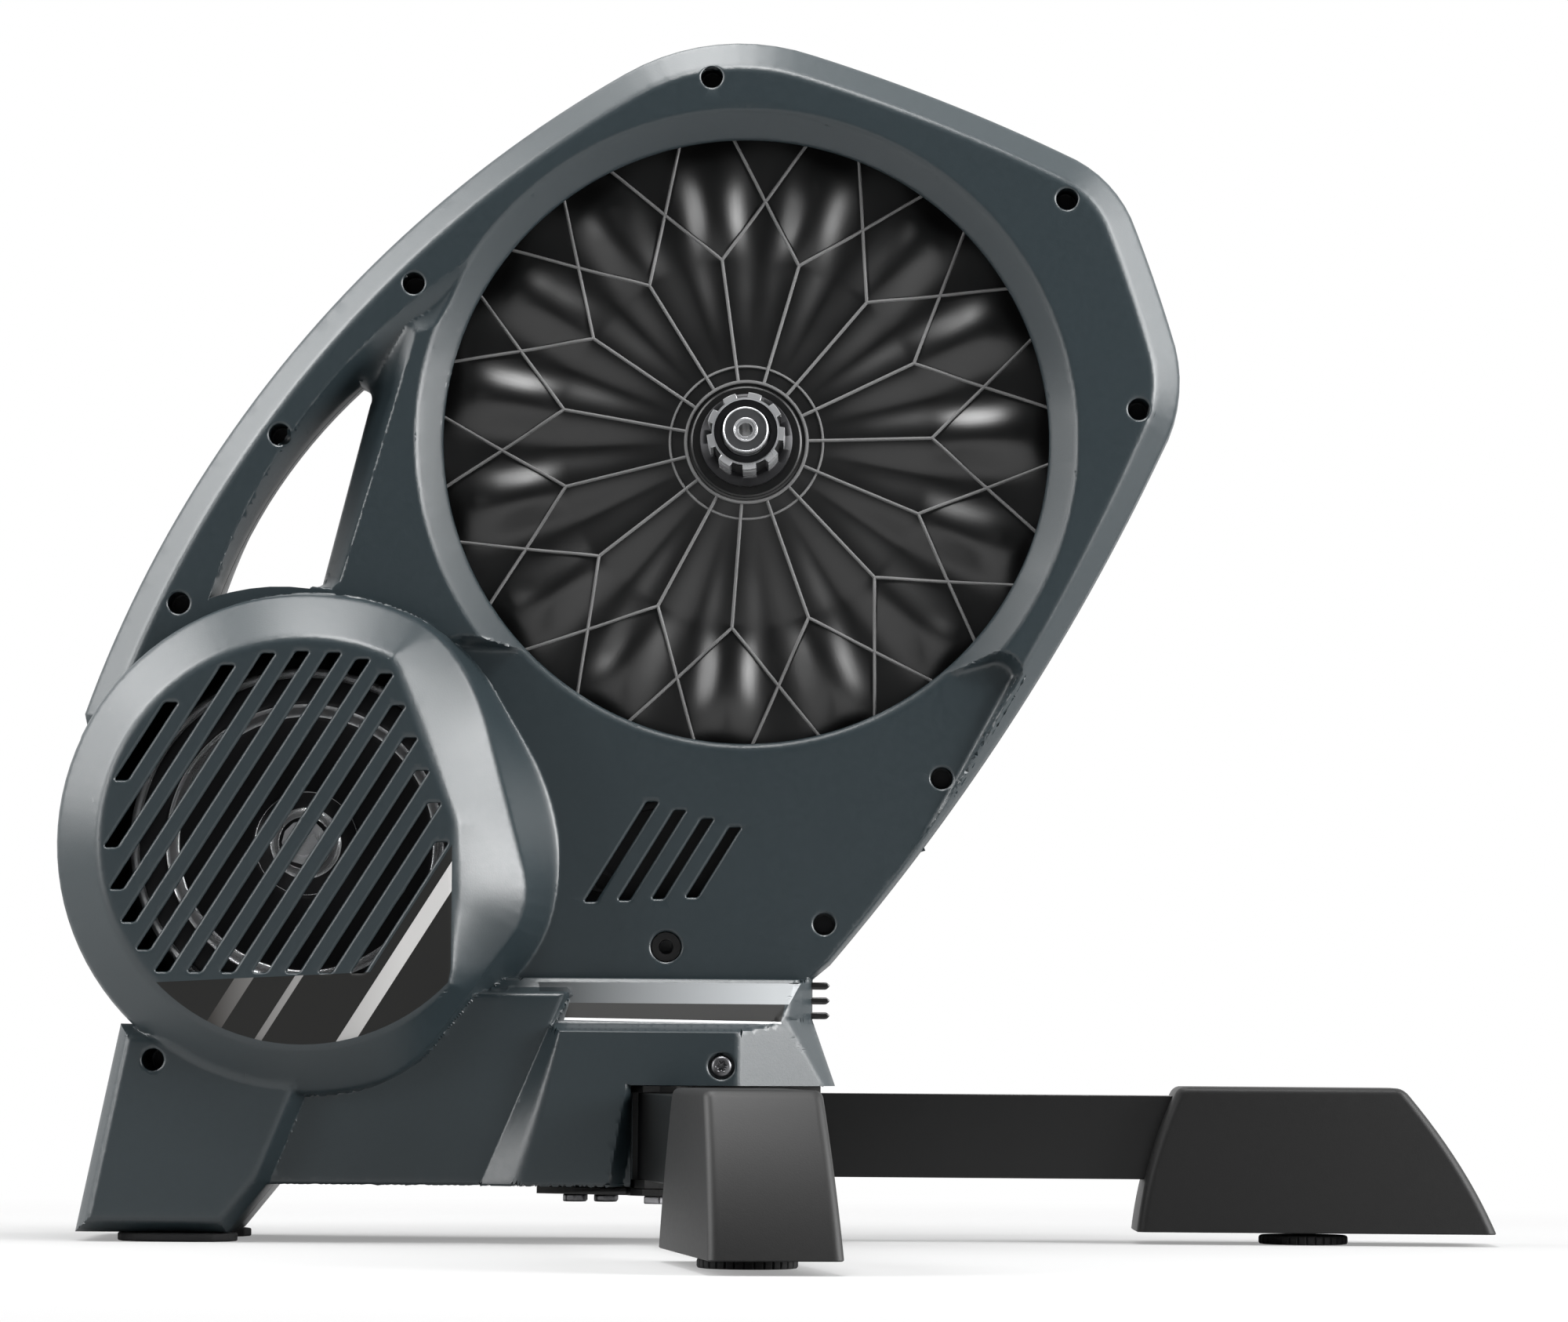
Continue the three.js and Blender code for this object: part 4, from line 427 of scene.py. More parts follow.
# %% Lay the floor
FLOOR_HALF = 6.0
floor_mesh = bpy.data.meshes.new("floor")
floor_corners = np.array([(-1, -1, 0), (1, -1, 0), (1, 1, 0), (-1, 1, 0)]) * FLOOR_HALF
floor_mesh.from_pydata(floor_corners.tolist(), [], [(0, 1, 2, 3)])
floor = bpy.data.objects.new("floor", floor_mesh)
scene.collection.objects.link(floor)
floor_finish = bpy.data.materials.new("studio_floor")
floor_finish.use_nodes = True
floor_tree = floor_finish.node_tree
floor_shader = floor_tree.nodes["Principled BSDF"]
glow = add_node(floor_tree, "Emission", {"Color": WHITE})
floor_place = add_node(floor_tree, "TexCoord").outputs["Object"]
reach = add_node(floor_tree, "VectorMath", {0: floor_place}, operation="LENGTH").outputs["Value"]
spread = add_node(floor_tree, "MapRange", {
    "Value": reach, "From Min": 0.45, "From Max": 1.0, "To Min": 0.3, "To Max": 1.0,
}, interpolation_type="SMOOTHSTEP")
seen = add_node(floor_tree, "LightPath").outputs["Is Camera Ray"]
share = math_node(floor_tree, "MULTIPLY", spread.outputs["Result"], seen)
paint = add_node(floor_tree, "Mix", {
    "A": (0.38, 0.38, 0.38, 1), "B": (0.42, 0.42, 0.42, 1), "Factor": seen}, data_type="RGBA")
set_inputs(floor_tree, floor_shader, {
    "Roughness": 0.9, "Specular IOR Level": 0.1, "Base Color": paint.outputs["Result"]})
floor_mix = add_node(floor_tree, "MixShader", {
    "Fac": share, 1: floor_shader.outputs["BSDF"], 2: glow.outputs["Emission"]})
set_inputs(floor_tree, floor_tree.nodes["Material Output"], {"Surface": floor_mix.outputs["Shader"]})
floor_mesh.materials.append(floor_finish)
print("floor", 2 * FLOOR_HALF, "m wide")

# %% [markdown]
# The two covers are the trainer's skin. Each is one moulding, so it is made as one surface: for every
# place of the side view, a rule gives how far the skin stands out from the middle plane.
# The rule is put together from outlines, each with a profile across its edge. First come the outlines.

# %% Outlines: arcs, offsets and distances
def arc_chain(stops, side=9.0, turn_step=0.12):
    """An outline through stops of (x, z, bow, chamfer). A side with a bow is an arc that rises by bow times
    its chord to the left, cut into pieces of at most side long and turn_step radians; a straight side is
    one piece, and the chamfer runs evenly along both."""
    stops = np.array([tuple(stop) + (0.0, 1.0)[len(stop) - 2:] for stop in stops], dtype=float)
    following = np.roll(stops, -1, axis=0)
    pieces = []
    for (x, z, bow, chamfer), (next_x, next_z, _, next_chamfer) in zip(stops, following):
        along = np.array([next_x - x, next_z - z])
        chord = np.linalg.norm(along)
        along /= chord
        run, lift, share = np.zeros(1), np.zeros(1), np.zeros(1)
        if bow:
            rise = bow * chord
            radius = (chord * chord / 4 + rise * rise) / (2 * rise)
            sweep = np.arcsin(chord / 2 / radius)
            count = int(np.ceil(max(chord / side, 2 * abs(sweep) / turn_step)))
            share = np.arange(count) / count
            turn = (2 * share - 1) * sweep
            run = chord / 2 + radius * np.sin(turn)
            lift = radius * np.cos(turn) - (radius - rise)
        pieces.append(np.stack([
            x + along[0] * run - along[1] * lift,
            z + along[1] * run + along[0] * lift,
            chamfer + (next_chamfer - chamfer) * share,
        ], axis=1))
    return np.concatenate(pieces)


def moved(outline, distance):
    """A clockwise outline with its points moved inwards along their mitres, by one distance or one for
    each."""
    place = outline[:, :2]
    before = place - np.roll(place, 1, axis=0)
    after = np.roll(place, -1, axis=0) - place
    first = np.stack([before[:, 1], -before[:, 0]], axis=1) / np.linalg.norm(before, axis=1)[:, None]
    second = np.stack([after[:, 1], -after[:, 0]], axis=1) / np.linalg.norm(after, axis=1)[:, None]
    reach = np.asarray(distance) / (1 + np.sum(first * second, axis=1)).clip(0.35)
    return np.column_stack([place + (first + second) * np.reshape(reach, (-1, 1)), outline[:, 2:]])


def inside(points, outline):
    """For each point, its distance inside an outline, negative outside, and the chamfer at the nearest
    side. The nearest place on a side is the point's shadow on it, held between the side's ends; a point is
    inside where a ray to the right crosses an odd number of sides."""
    x, z = outline[:, 0], outline[:, 1]
    run, rise = np.roll(x, -1) - x, np.roll(z, -1) - z
    square = np.maximum(run * run + rise * rise, 1e-12)
    chamfer = outline[:, 2] if outline.shape[1] > 2 else np.ones(len(outline))
    chamfer_step = np.roll(chamfer, -1) - chamfer
    distance = np.empty(len(points))
    carried = np.empty(len(points))
    block = max(1, 150000 // len(outline))
    for low in range(0, len(points), block):
        across = points[low:low + block, :1] - x
        up = points[low:low + block, 1:] - z
        share = ((across * run + up * rise) / square).clip(0, 1)
        squares = (across - share * run) ** 2 + (up - share * rise) ** 2
        nearest = squares.argmin(axis=1)
        row = np.arange(len(nearest))
        left_of_side = (across * rise < up * run) == (rise > 0)
        straddles = (up >= 0) != (up >= rise)
        odd = (straddles & left_of_side).sum(axis=1) % 2 == 1
        distance[low:low + block] = np.sqrt(squares[row, nearest]) * np.where(odd, 1, -1)
        carried[low:low + block] = chamfer[nearest] + chamfer_step[nearest] * share[row, nearest]
    return distance, carried


# %% [markdown]
# The outlines of the housing: its silhouette, the handle window, the lower deck, the round bulge over the
# flywheel with its slatted face, the base, the block over the legs and the rear foot.
# The round ones follow the axle or the flywheel, so they are given in shares of a radius.

# %% The outlines of the housing
OPENING_RADIUS = 137.5
BULGE_RADIUS = 112.0
GRILLE_RADIUS = 91.0
LEFT_HOLE_RADIUS = 26.0
NOTCH_REAR, NOTCH_TOP = -49.0, 71.3
BASE_TOP, BASE_BOTTOM = 119.3, 25.5
# The base's end over the near foot: upright down to a height, then slanted out to a toe.
BASE_REAR, BASE_END, SLANT_TOP, BASE_TOE = -222, 32, 101, 42.5
# The rib band and the block: their tops, their ends and how far an end leans for each millimetre down.
RIB_TOP, RIB_END, RIB_LEAN = 112, -79, 0.4393
BLOCK_TOP, BLOCK_REAR, BLOCK_END, BLOCK_LEAN = 95.4, -81.3, -1.5, 0.247


def round_axle(shares):
    """Stops given in shares of the opening's radius from the axle."""
    return [(OPENING_RADIUS * x, AXLE_HEIGHT + OPENING_RADIUS * z, *rest) for x, z, *rest in shares]


def faceted_circle(radius, facets, steps=100, blend=0):
    """A clockwise circle round the flywheel, cut by flat facets: each is the direction it faces, in
    degrees, and its distance as a share of the radius. The corners are blended over some steps."""
    turn = -2 * np.pi * np.arange(steps) / steps
    reach = np.full(steps, float(radius))
    for facing, share in facets:
        lean = np.cos(turn - np.radians(facing))
        reach = np.where(lean > 0, np.minimum(reach, radius * share / np.maximum(lean, 1e-6)), reach)
    reach = np.mean([np.roll(reach, k) for k in range(-blend, blend + 1)], axis=0)
    return np.column_stack([FLYWHEEL[0] + reach * np.cos(turn), FLYWHEEL[1] + reach * np.sin(turn)])


def circle(centre, radius, steps):
    """A clockwise circle as points (x, z)."""
    turn = -2 * np.pi * np.arange(steps) / steps
    return np.column_stack([centre[0] + radius * np.cos(turn), centre[1] + radius * np.sin(turn)])


SILHOUETTE = arc_chain(round_axle([
    (-0.415, 1.229, 0.108), (0.218, 1.295, 0.0185), (1.091, 0.953, 0.095), (1.292, 0.717, 0.01),
    (1.425, 0.327, 0.095), (1.382, -0.015, 0.033, 0.85),
]) + [
    (40, 126, 0, 0.3), (BASE_END, BASE_TOP, 0, 0.3), (BASE_END, 87.3, 0, 0.3), (-195, 80, 0, 0.3),
    (-287, 178), (-300, 237.0, 0.0898),
])
WINDOW = arc_chain(round_axle([
    (-1.28, 0.182, 0.25), (-1.249, 0.118), (-1.399, -0.48), (-1.43, -0.505, -0.06), (-1.753, -0.538, 0.06),
]))
WINDOW_MOUTH = arc_chain(round_axle([
    (-0.93, 0.575, 0.2), (-1.09, 0.345), (-1.33, -0.48), (-1.36, -0.505, -0.06), (-1.76, -0.538, 0.085),
]))
DECK = arc_chain(round_axle([
    (-0.93, -0.69), (0.7, -0.76), (0.82, -0.725, 0.2), (0.885, -0.77), (0.73, -1.06, 0.02),
]) + [(35, 116), (-192, 116), (-192, AXLE_HEIGHT - 0.82 * OPENING_RADIUS)])
BULGE = faceted_circle(BULGE_RADIUS, [(14.9, 0.82), (31.7, 0.9), (-36.9, 0.882)], blend=2)
BULGE_FOOT = faceted_circle(BULGE_RADIUS + 2, [(4, 0.985), (32, 0.935), (-48.5, 0.94)], blend=3)
GRILLE = faceted_circle(GRILLE_RADIUS, [(0, 0.742), (21, 0.731)])
BASE = arc_chain([
    (BASE_REAR, BASE_TOP), (BASE_END, BASE_TOP), (BASE_END, SLANT_TOP), (BASE_TOE, NOTCH_TOP),
    (BASE_TOE, BASE_BOTTOM), (BASE_REAR, BASE_BOTTOM),
])
REAR_FOOT = arc_chain([(-277.8, 97), (-184.8, 90.5), (-211.1, 25.9), (-228.8, 4), (-297, 4)])
NOTCH = arc_chain([(NOTCH_REAR, NOTCH_TOP), (60, NOTCH_TOP), (60, 0), (NOTCH_REAR, 0)])
RIB = arc_chain([(BASE_REAR, RIB_TOP), (RIB_END, RIB_TOP), (-117, BASE_BOTTOM), (BASE_REAR, BASE_BOTTOM)])
BLOCK = arc_chain([
    (BLOCK_REAR, BLOCK_TOP), (BLOCK_END, BLOCK_TOP), (BLOCK_END, BASE_BOTTOM), (-98.5, BASE_BOTTOM),
])
print("silhouette points", len(SILHOUETTE), "window", len(WINDOW), "deck", len(DECK))

# %% [markdown]
# Slots, vents, screw holes and the plug's hole are holes in that surface. A slot is a leaning bar whose
# ends are cut level, with small rounds in its corners, as the moulding tool leaves them.

# %% Slots, vents and holes
SLOT_LEAN, SLOT_PITCH, SLOT_COUNT = math.radians(57.8), 14.5, 12
VENT_LEAN, VENT_PITCH, VENT_FLOOR = math.radians(58.5), 13.9, 118


def leaning_slot(low, high, lean, width, round_size=1.3):
    """A bar between two places (x, z): its long sides lean, its ends are level, its corners are rounded."""
    half = width / 2 / math.sin(lean)
    corners = [(low[0] - half, low[1], round_size), (high[0] - half, high[1], round_size),
               (high[0] + half, high[1], round_size), (low[0] + half, low[1], round_size)]
    return np.array(rounded_profile(corners, steps=4))


def grille_slots():
    """Twelve slots at one pitch; each runs along its lean while it stays inside the grille's margin."""
    margin = moved(GRILLE, 5.6)
    slots = []
    for k in range(SLOT_COUNT):
        foot = FLYWHEEL[0] + (k + 1 - SLOT_COUNT * 0.646) * SLOT_PITCH
        run = np.linspace(-58 / math.sin(SLOT_LEAN), 100, 600)
        line = np.column_stack([foot + run * math.cos(SLOT_LEAN), FLYWHEEL[1] + run * math.sin(SLOT_LEAN)])
        held = line[inside(line, margin)[0] > 0]
        slots.append(leaning_slot(held[0], held[-1], SLOT_LEAN, 5.0))
    return slots


def deck_vents():
    """Four vents beside each other, each a little shorter and lower than the one before."""
    deck = AXLE_HEIGHT - OPENING_RADIUS - VENT_FLOOR
    vents = []
    for k in range(4):
        half = deck * 0.4651 * (1 - 0.106 * k) / 2 + 1.5
        middle = np.array([-55 + VENT_PITCH * k, VENT_FLOOR + deck * 0.5414 - 1.5 * k])
        run = half * np.array([math.cos(VENT_LEAN), math.sin(VENT_LEAN)])
        vents.append(leaning_slot(middle - run, middle + run, VENT_LEAN, 4.5, 1.1))
    return vents


SLOTS = grille_slots()
VENTS = deck_vents()
SCREWS = []
for name in ("top", "front_upper", "front_middle", "front_lower", "throat", "rear_upper", "rear_middle",
             "rear_lower", "foot"):
    centre = middle_of("cover_screw_" + name)
    SCREWS.append(((centre.x - AXLE_X) / MM, centre.z / MM))
PLUG_HOLE = (-34.4, 133.5)
BASE_SCREW = (-8.6, 80.0)
# A well is a round hole with a tube down to a bottom: its centre, radius and the depth of its bottom.
WELLS = [(place, 5.0, 12.0) for place in SCREWS] + [(PLUG_HOLE, 7.0, 5.2), (BASE_SCREW, 6.0, 55.0)]
print("slots", len(SLOTS), "vents", len(VENTS), "screw holes", len(SCREWS))

# %% [markdown]
# The rule itself: flat levels joined by profiles across the outlines. Where two forms meet, a soft minimum
# or maximum rounds the corner between them, as the radius of a moulding tool does.

# %% The depth of the skin at any place
BODY_LEVEL, DECK_LEVEL, BASE_LEVEL = 34.0, 24.0, 46.0
EDGE_LEVEL, CONE_LEVEL, END_LEVEL = 0.75, 21.6, 20.0
RIB_LEVEL, BLOCK_LEVEL, HEEL_LEVEL = 49.0, 58.0, 62.0
# The bulge's level at its rim and on its face, on each side.
DRIVE_BULGE, LEFT_BULGE = (58.0, 80.0), (40.0, 52.0)
# How far it is across the window's slope, and from the bulge's rim to its face.
SLOPE_WIDTH, FACE_RISE = 15, 21


def soft_min(first, second, blend):
    """The smaller of two levels; where they differ by less than blend, a parabola rounds the corner."""
    gap = np.maximum(blend - np.abs(first - second), 0)
    return np.minimum(first, second) - gap ** 2 / (4 * blend)


def soft_max(first, second, blend):
    """The larger of two levels, rounded the same way."""
    return -soft_min(-first, -second, blend)


def levels(distance, stops):
    """The level at a distance across an edge: a line through (distance, level, rounding) with its corners
    rounded, read by interpolation."""
    curve = np.array(rounded_profile(stops, steps=6))
    return np.interp(distance, curve[:, 0], curve[:, 1])


def skin_depth(points, rim, face):
    """Depth of the outside at each place: the body's edge, chamfer and flat, less the window's slope, the
    cone round the pulley and the lower deck, and then the highest of the bulge, base, block and foot."""
    x, z = points[:, 0], points[:, 1]
    edge, chamfer = inside(points, SILHOUETTE)
    span = np.where(edge > 1, 1 + (edge - 1) / chamfer, edge)
    depth = levels(span, [(-9, EDGE_LEVEL), (0, EDGE_LEVEL), (1, END_LEVEL, 1.8), (14, BODY_LEVEL, 2.5),
                          (99, BODY_LEVEL)])
    radius = np.hypot(x, z - AXLE_HEIGHT)
    cone = levels(radius, [(0, CONE_LEVEL), (OPENING_RADIUS, CONE_LEVEL), (138.2, 22.8, 0.6),
                           (150, BODY_LEVEL, 2.5), (175, 70)])
    deck_out = -inside(points, DECK)[0]
    deck = levels(deck_out, [(-99, DECK_LEVEL), (0, DECK_LEVEL, 2), (4.5, BODY_LEVEL, 2), (20, 90)])
    opening = -inside(points, WINDOW)[0]
    mouth = inside(points, WINDOW_MOUTH)[0]
    slope = SLOPE_WIDTH * opening / np.maximum(opening + mouth, 1e-3)
    slope = np.where(mouth > 0, slope, SLOPE_WIDTH - 2 * mouth)
    window = levels(slope, [(-9, 10.4), (0, 10.4), (0.7, 12.4, 0.7), (SLOPE_WIDTH, BODY_LEVEL, 2),
                            (60, 150)])
    depth = soft_min(soft_min(soft_min(depth, deck, 2.5), cone, 2.0), window, 1.5)

    bulge, grille = inside(points, BULGE)[0], inside(points, GRILLE)[0]
    foot = inside(points, BULGE_FOOT)[0]
    across = FACE_RISE * bulge / np.maximum(bulge - grille, 1e-3)
    across = np.where(grille > 0, FACE_RISE + grille, np.where(bulge > 0, across, bulge))
    flank = rim - (rim - DECK_LEVEL + 2) * -bulge / np.maximum(foot - bulge, 1e-3)
    outer = levels(across, [(0, rim - 3), (0.9, rim + 0.9, 1.6), (FACE_RISE, face, 3.2), (99, face)])
    outer = np.where(bulge > 0, outer, np.where(foot > 0, flank - 3, DECK_LEVEL - 5 + 9 * foot))
    depth = soft_max(depth, outer, 4.0)

    base = levels(BASE_TOP - z, [(-1, 4), (0, BODY_LEVEL, 1.8), (21, BASE_LEVEL, 2.5), (120, BASE_LEVEL)])
    rib = RIB_LEVEL + levels(inside(points, RIB)[0], [(-20, -100), (0, 0, 2.5), (99, 0)])
    rib_edge = RIB_END - (RIB_TOP - z) * RIB_LEAN
    block_edge = BLOCK_REAR - (BLOCK_TOP - z) * BLOCK_LEAN
    share = (x - rib_edge) / np.maximum(block_edge - rib_edge, 2)
    block = soft_min(RIB_LEVEL + (BLOCK_LEVEL - RIB_LEVEL) * share, BLOCK_LEVEL, 2.2)
    block = soft_min(block, BLOCK_LEVEL + (BLOCK_TOP - z) * 4, 2.5)
    lip = ((x + 50.4) * 44.4 - (z - NOTCH_TOP) * 7.7) / math.hypot(44.4, 7.7)
    lip = np.where(z < NOTCH_TOP, BLOCK_LEVEL - 2.2 * lip, 99)
    block = soft_min(block, lip, 2.0)
    base_in = inside(points, BASE)[0]
    lower = soft_max(soft_max(base, rib, 2.5), block, 2.0)
    drop, run = SLANT_TOP - NOTCH_TOP, BASE_TOE - BASE_END
    slant = ((BASE_END - x) * drop + (SLANT_TOP - z) * run) / math.hypot(drop, run)
    end = np.where(z > SLANT_TOP, BASE_END - x, slant)
    lower = soft_min(lower, BLOCK_LEVEL - 0.75 * (x - BLOCK_END), 1.5)
    lower = soft_min(lower, END_LEVEL + 2.1 * end, 3.0)
    lower = np.where(base_in > 0, lower, BODY_LEVEL + 11 * base_in - 12)
    depth = np.where(base_in > -3, soft_max(depth, lower, 2.0), depth)
    depth = np.where((z < BASE_TOP) & (x > 0), soft_min(depth, END_LEVEL + 2.1 * end, 3.0), depth)
    rear = inside(points, REAR_FOOT)[0]
    heel = levels(rear, [(-9, -50), (0, 50, 1.5), (5.5, HEEL_LEVEL, 2.5), (99, HEEL_LEVEL)])
    depth = soft_max(depth, heel, 2.5)

    rim_gap = np.maximum.reduce([edge, bulge, base_in, rear]).clip(0, 2)
    depth = depth - (2 - np.sqrt(4 - (2 - rim_gap) ** 2))
    drive = (rim, face) == DRIVE_BULGE
    for hole in VENTS + (SLOTS if drive else []):
        low, high = hole.min(axis=0) - 1.5, hole.max(axis=0) + 1.5
        near = ((points > low) & (points < high)).all(axis=1)
        gap = -inside(points[near], hole)[0]
        depth[near] -= 0.9 * (1 - gap.clip(0, 1.3) / 1.3) ** 2
    if drive:
        for place, radius, _ in WELLS:
            gap = np.hypot(points[:, 0] - place[0], points[:, 1] - place[1]) - radius
            depth = np.where(gap < 1, depth - 0.7 * (1 - gap.clip(0, 1)) ** 2, depth)
    return np.maximum(depth, EDGE_LEVEL)


probe = np.array([(-195.0, 178), (0, 528), (100, 200), (-40, 60), (-262, 60), (-250, 330)])
print("levels at six places", skin_depth(probe, *DRIVE_BULGE).round(1))

# %% [markdown]
# To mesh the rule, rows of points follow every outline closely, because that is where the skin bends, and
# a coarse grid fills the rest. Where the grid finds a bend of its own, it is halved up to three times.
# One constrained triangulation joins them all, and triangles outside the housing or in a hole are dropped.

# %% The mesh of a cover
WALL = 3.0
SEAM, SEAM_GROOVE = 0.15, 0.45
CAD_TOP = 546.4
GRID_CORNER, GRID_SPAN = np.array([-320.3, -2.2]), (530, 560)
BESIDE = 0.3  # how near a border has to be to a round hole to belong to it


def spaced(outline, side):
    """A closed outline with points added so that no side is longer than a length."""
    after = np.roll(outline, -1, axis=0)
    counts = np.maximum(1, np.ceil(np.linalg.norm((after - outline)[:, :2], axis=1) / side)).astype(int)
    owner = np.repeat(np.arange(len(outline)), counts)
    first = np.repeat(np.cumsum(counts) - counts, counts)
    share = ((np.arange(counts.sum()) - first) / counts[owner])[:, None]
    return outline[owner] * (1 - share) + after[owner] * share


def edge_rows(outline, distances):
    """Copies of an outline moved inwards by each distance, as closed rows."""
    even = spaced(outline, 3.0)
    return [moved(even, distance)[:, :2] for distance in distances]


def bent_grid(inside_form, depth_at, corner, span, coarse=8.0, bend=0.07, halvings=3):
    """Grid places where the skin bends: a cell is halved while the level at its middles differs from the
    mean of its corners by more than bend. Places are whole numbers of the finest step."""
    step = coarse / 2 ** halvings
    size = 2 ** halvings
    count = (np.array(span) / coarse).astype(int) + 1
    columns, rows = np.meshgrid(np.arange(count[0]), np.arange(count[1]), indexing="ij")
    cells = np.stack([columns, rows], -1).reshape(-1, 2) * size
    found = [(cells, size)]
    square = np.array([(0, 0), (2, 0), (0, 2), (2, 2)])
    middle = np.array([(1, 0), (0, 1), (1, 1), (2, 1), (1, 2)])
    mean = np.array([(1, 1, 0, 0), (1, 0, 1, 0), (0.5, 0.5, 0.5, 0.5), (0, 1, 0, 1), (0, 0, 1, 1)]) / 2
    for _ in range(halvings):
        half = size // 2
        centres = corner + (cells + half) * step
        cells = cells[inside_form(centres) | inside_form(corner + cells * step)]
        wide = (cells[:, None] + half * np.concatenate([square, middle])).reshape(-1, 2)
        places, index = np.unique(wide, axis=0, return_inverse=True)
        level = depth_at(corner + places * step)[index.reshape(-1)].reshape(len(cells), 9)
        bends = np.abs(level[:, 4:] - level[:, :4] @ mean.T).max(axis=1) > bend
        cells = cells[bends]
        found.append(((cells[:, None] + half * middle).reshape(-1, 2), half))
        cells = (cells[:, None] + half * np.array([(0, 0), (1, 0), (0, 1), (1, 1)])).reshape(-1, 2)
        size = half
    return [(corner + np.unique(places, axis=0) * step, size * step) for places, size in found]


def away_from(places, taken, size):
    """The places whose square of a given size holds none of the taken points."""
    def key(points):
        cell = np.floor(points / size).astype(np.int64)
        return cell[:, 0] * 100003 + cell[:, 1]
    return places[~np.isin(key(places), key(taken))]


def cover_rows(drive):
    """All rows of points along the outlines: first the true edges, then the places where the skin bends."""
    holes = [circle(place, radius, int(5.6 * radius)) for place, radius, _ in WELLS] if drive else []
    centre = circle(AXLE, OPENING_RADIUS if drive else LEFT_HOLE_RADIUS, 300 if drive else 64)
    through = [centre, spaced(WINDOW[:, :2], 2.5), *VENTS] + (SLOTS if drive else [])
    edges = [spaced(o[:, :2], 2.5) for o in (SILHOUETTE, BULGE, BASE, REAR_FOOT, NOTCH)] + through + holes
    bends = []
    even = spaced(SILHOUETTE, 2.5)
    bends += [moved(even, distance)[:, :2] for distance in (0.5, 0.8, 1.05, 1.6, 2.6)]
    bends += [moved(even, 1 + (distance - 1) * even[:, 2])[:, :2] for distance in (11.5, 13.2, 14.8, 16.5)]
    bends += edge_rows(BULGE, (0.35, 0.8, 1.4, 2.4))
    bends += edge_rows(BULGE_FOOT, (-1.4, -0.6, 0, 0.8))
    bends += edge_rows(GRILLE, (-3, -1.6, 0, 1.6, 3))
    bends += [circle(AXLE, radius, 300) for radius in (137.9, 138.5, 139.4, 148, 149.3, 150.6)]
    bends += edge_rows(DECK, (1.4, 0, -1.2, -3.2, -4.6, -6))
    bends += edge_rows(WINDOW, (-0.35, -0.8, -1.6))
    bends += edge_rows(WINDOW_MOUTH, (1.2, 0, -1.2))
    bends += edge_rows(RIB, (1.8, 0.6, 0, -0.8))
    bends += edge_rows(BLOCK, (1.5, 0, -1.5, -3.2))
    bends += edge_rows(REAR_FOOT, (0.4, 0.9, 1.8, 3.5, 5.5, 7.5))
    for hole in VENTS + (SLOTS if drive else []):
        bends += [moved(hole, -0.5), moved(hole, -1.3)]
    if drive:
        bends += [circle(place, radius + more, int(5.6 * radius))
                  for place, radius, _ in WELLS for more in (0.4, 1.0)]
    return edges, bends


def in_housing(points):
    """True inside the joined outlines, less the room for the legs."""
    forms = [inside(points, outline)[0] for outline in (SILHOUETTE, BULGE, BASE, REAR_FOOT)]
    notch = (points[:, 0] > NOTCH_REAR) & (points[:, 1] < NOTCH_TOP)
    return (np.maximum.reduce(forms) > 0) & ~notch


def in_any_hole(points, drive):
    """True where the cover is open: its centre, the window, the vents, the slots and the wells."""
    centre_radius = OPENING_RADIUS if drive else LEFT_HOLE_RADIUS
    hit = np.hypot(points[:, 0], points[:, 1] - AXLE_HEIGHT) < centre_radius
    hit |= inside(points, WINDOW)[0] > 0
    for hole in VENTS + (SLOTS if drive else []):
        near = ((points > hole.min(axis=0)) & (points < hole.max(axis=0))).all(axis=1)
        hit[near] |= inside(points[near], hole)[0] > 0
    if drive:
        for place, radius, _ in WELLS:
            hit |= np.hypot(*(points - place).T) < radius
    return hit


def cover_surface(drive, prints):
    """Points (x, depth, z), triangles and a finish number for each."""
    rim, face = DRIVE_BULGE if drive else LEFT_BULGE
    edges, bends = cover_rows(drive)
    rows = edges + [shape for shape, _ in prints] + bends
    counts = np.array([len(row) for row in rows])
    first = np.repeat(np.cumsum(counts) - counts, counts)
    number = np.arange(counts.sum())
    following = np.where(number - first + 1 == np.repeat(counts, counts), first, number + 1)
    row_points = np.concatenate(rows)
    grids = bent_grid(in_housing, lambda p: skin_depth(p, rim, face), GRID_CORNER, GRID_SPAN)
    points = [row_points]
    for places, size in grids:
        places = places[in_housing(places)]
        points.append(away_from(places, row_points, size * 0.8))
    flat = np.concatenate(points)
    vertices, _, triangles, *_ = delaunay_2d_cdt(
        [Vector(p) for p in flat.tolist()], np.stack([number, following], 1).tolist(), [], 0, 1e-5, False)
    places = np.array([(v[0], min(v[1], CAD_TOP)) for v in vertices])
    triangles = np.array(triangles)
    middle = places[triangles].mean(axis=1)
    triangles = triangles[in_housing(middle) & ~in_any_hole(middle, drive)]
    finishes = np.zeros(len(triangles), dtype=int)
    middle = places[triangles].mean(axis=1)
    for shape, number in prints:
        finishes[inside(middle, shape)[0] > 0] = number
    used, triangles = np.unique(triangles, return_inverse=True)
    triangles = triangles.reshape(-1, 3)
    places = places[used]
    skin = np.column_stack([places[:, 0], skin_depth(places, rim, face), places[:, 1]])
    return skin, triangles, finishes


def border_of(triangles, count):
    """Directed edges that belong to one triangle only."""
    edges = np.concatenate([triangles[:, (0, 1)], triangles[:, (1, 2)], triangles[:, (2, 0)]])
    key = edges[:, 0] * count + edges[:, 1]
    other = edges[:, 1] * count + edges[:, 0]
    return edges[~np.isin(key, other)]


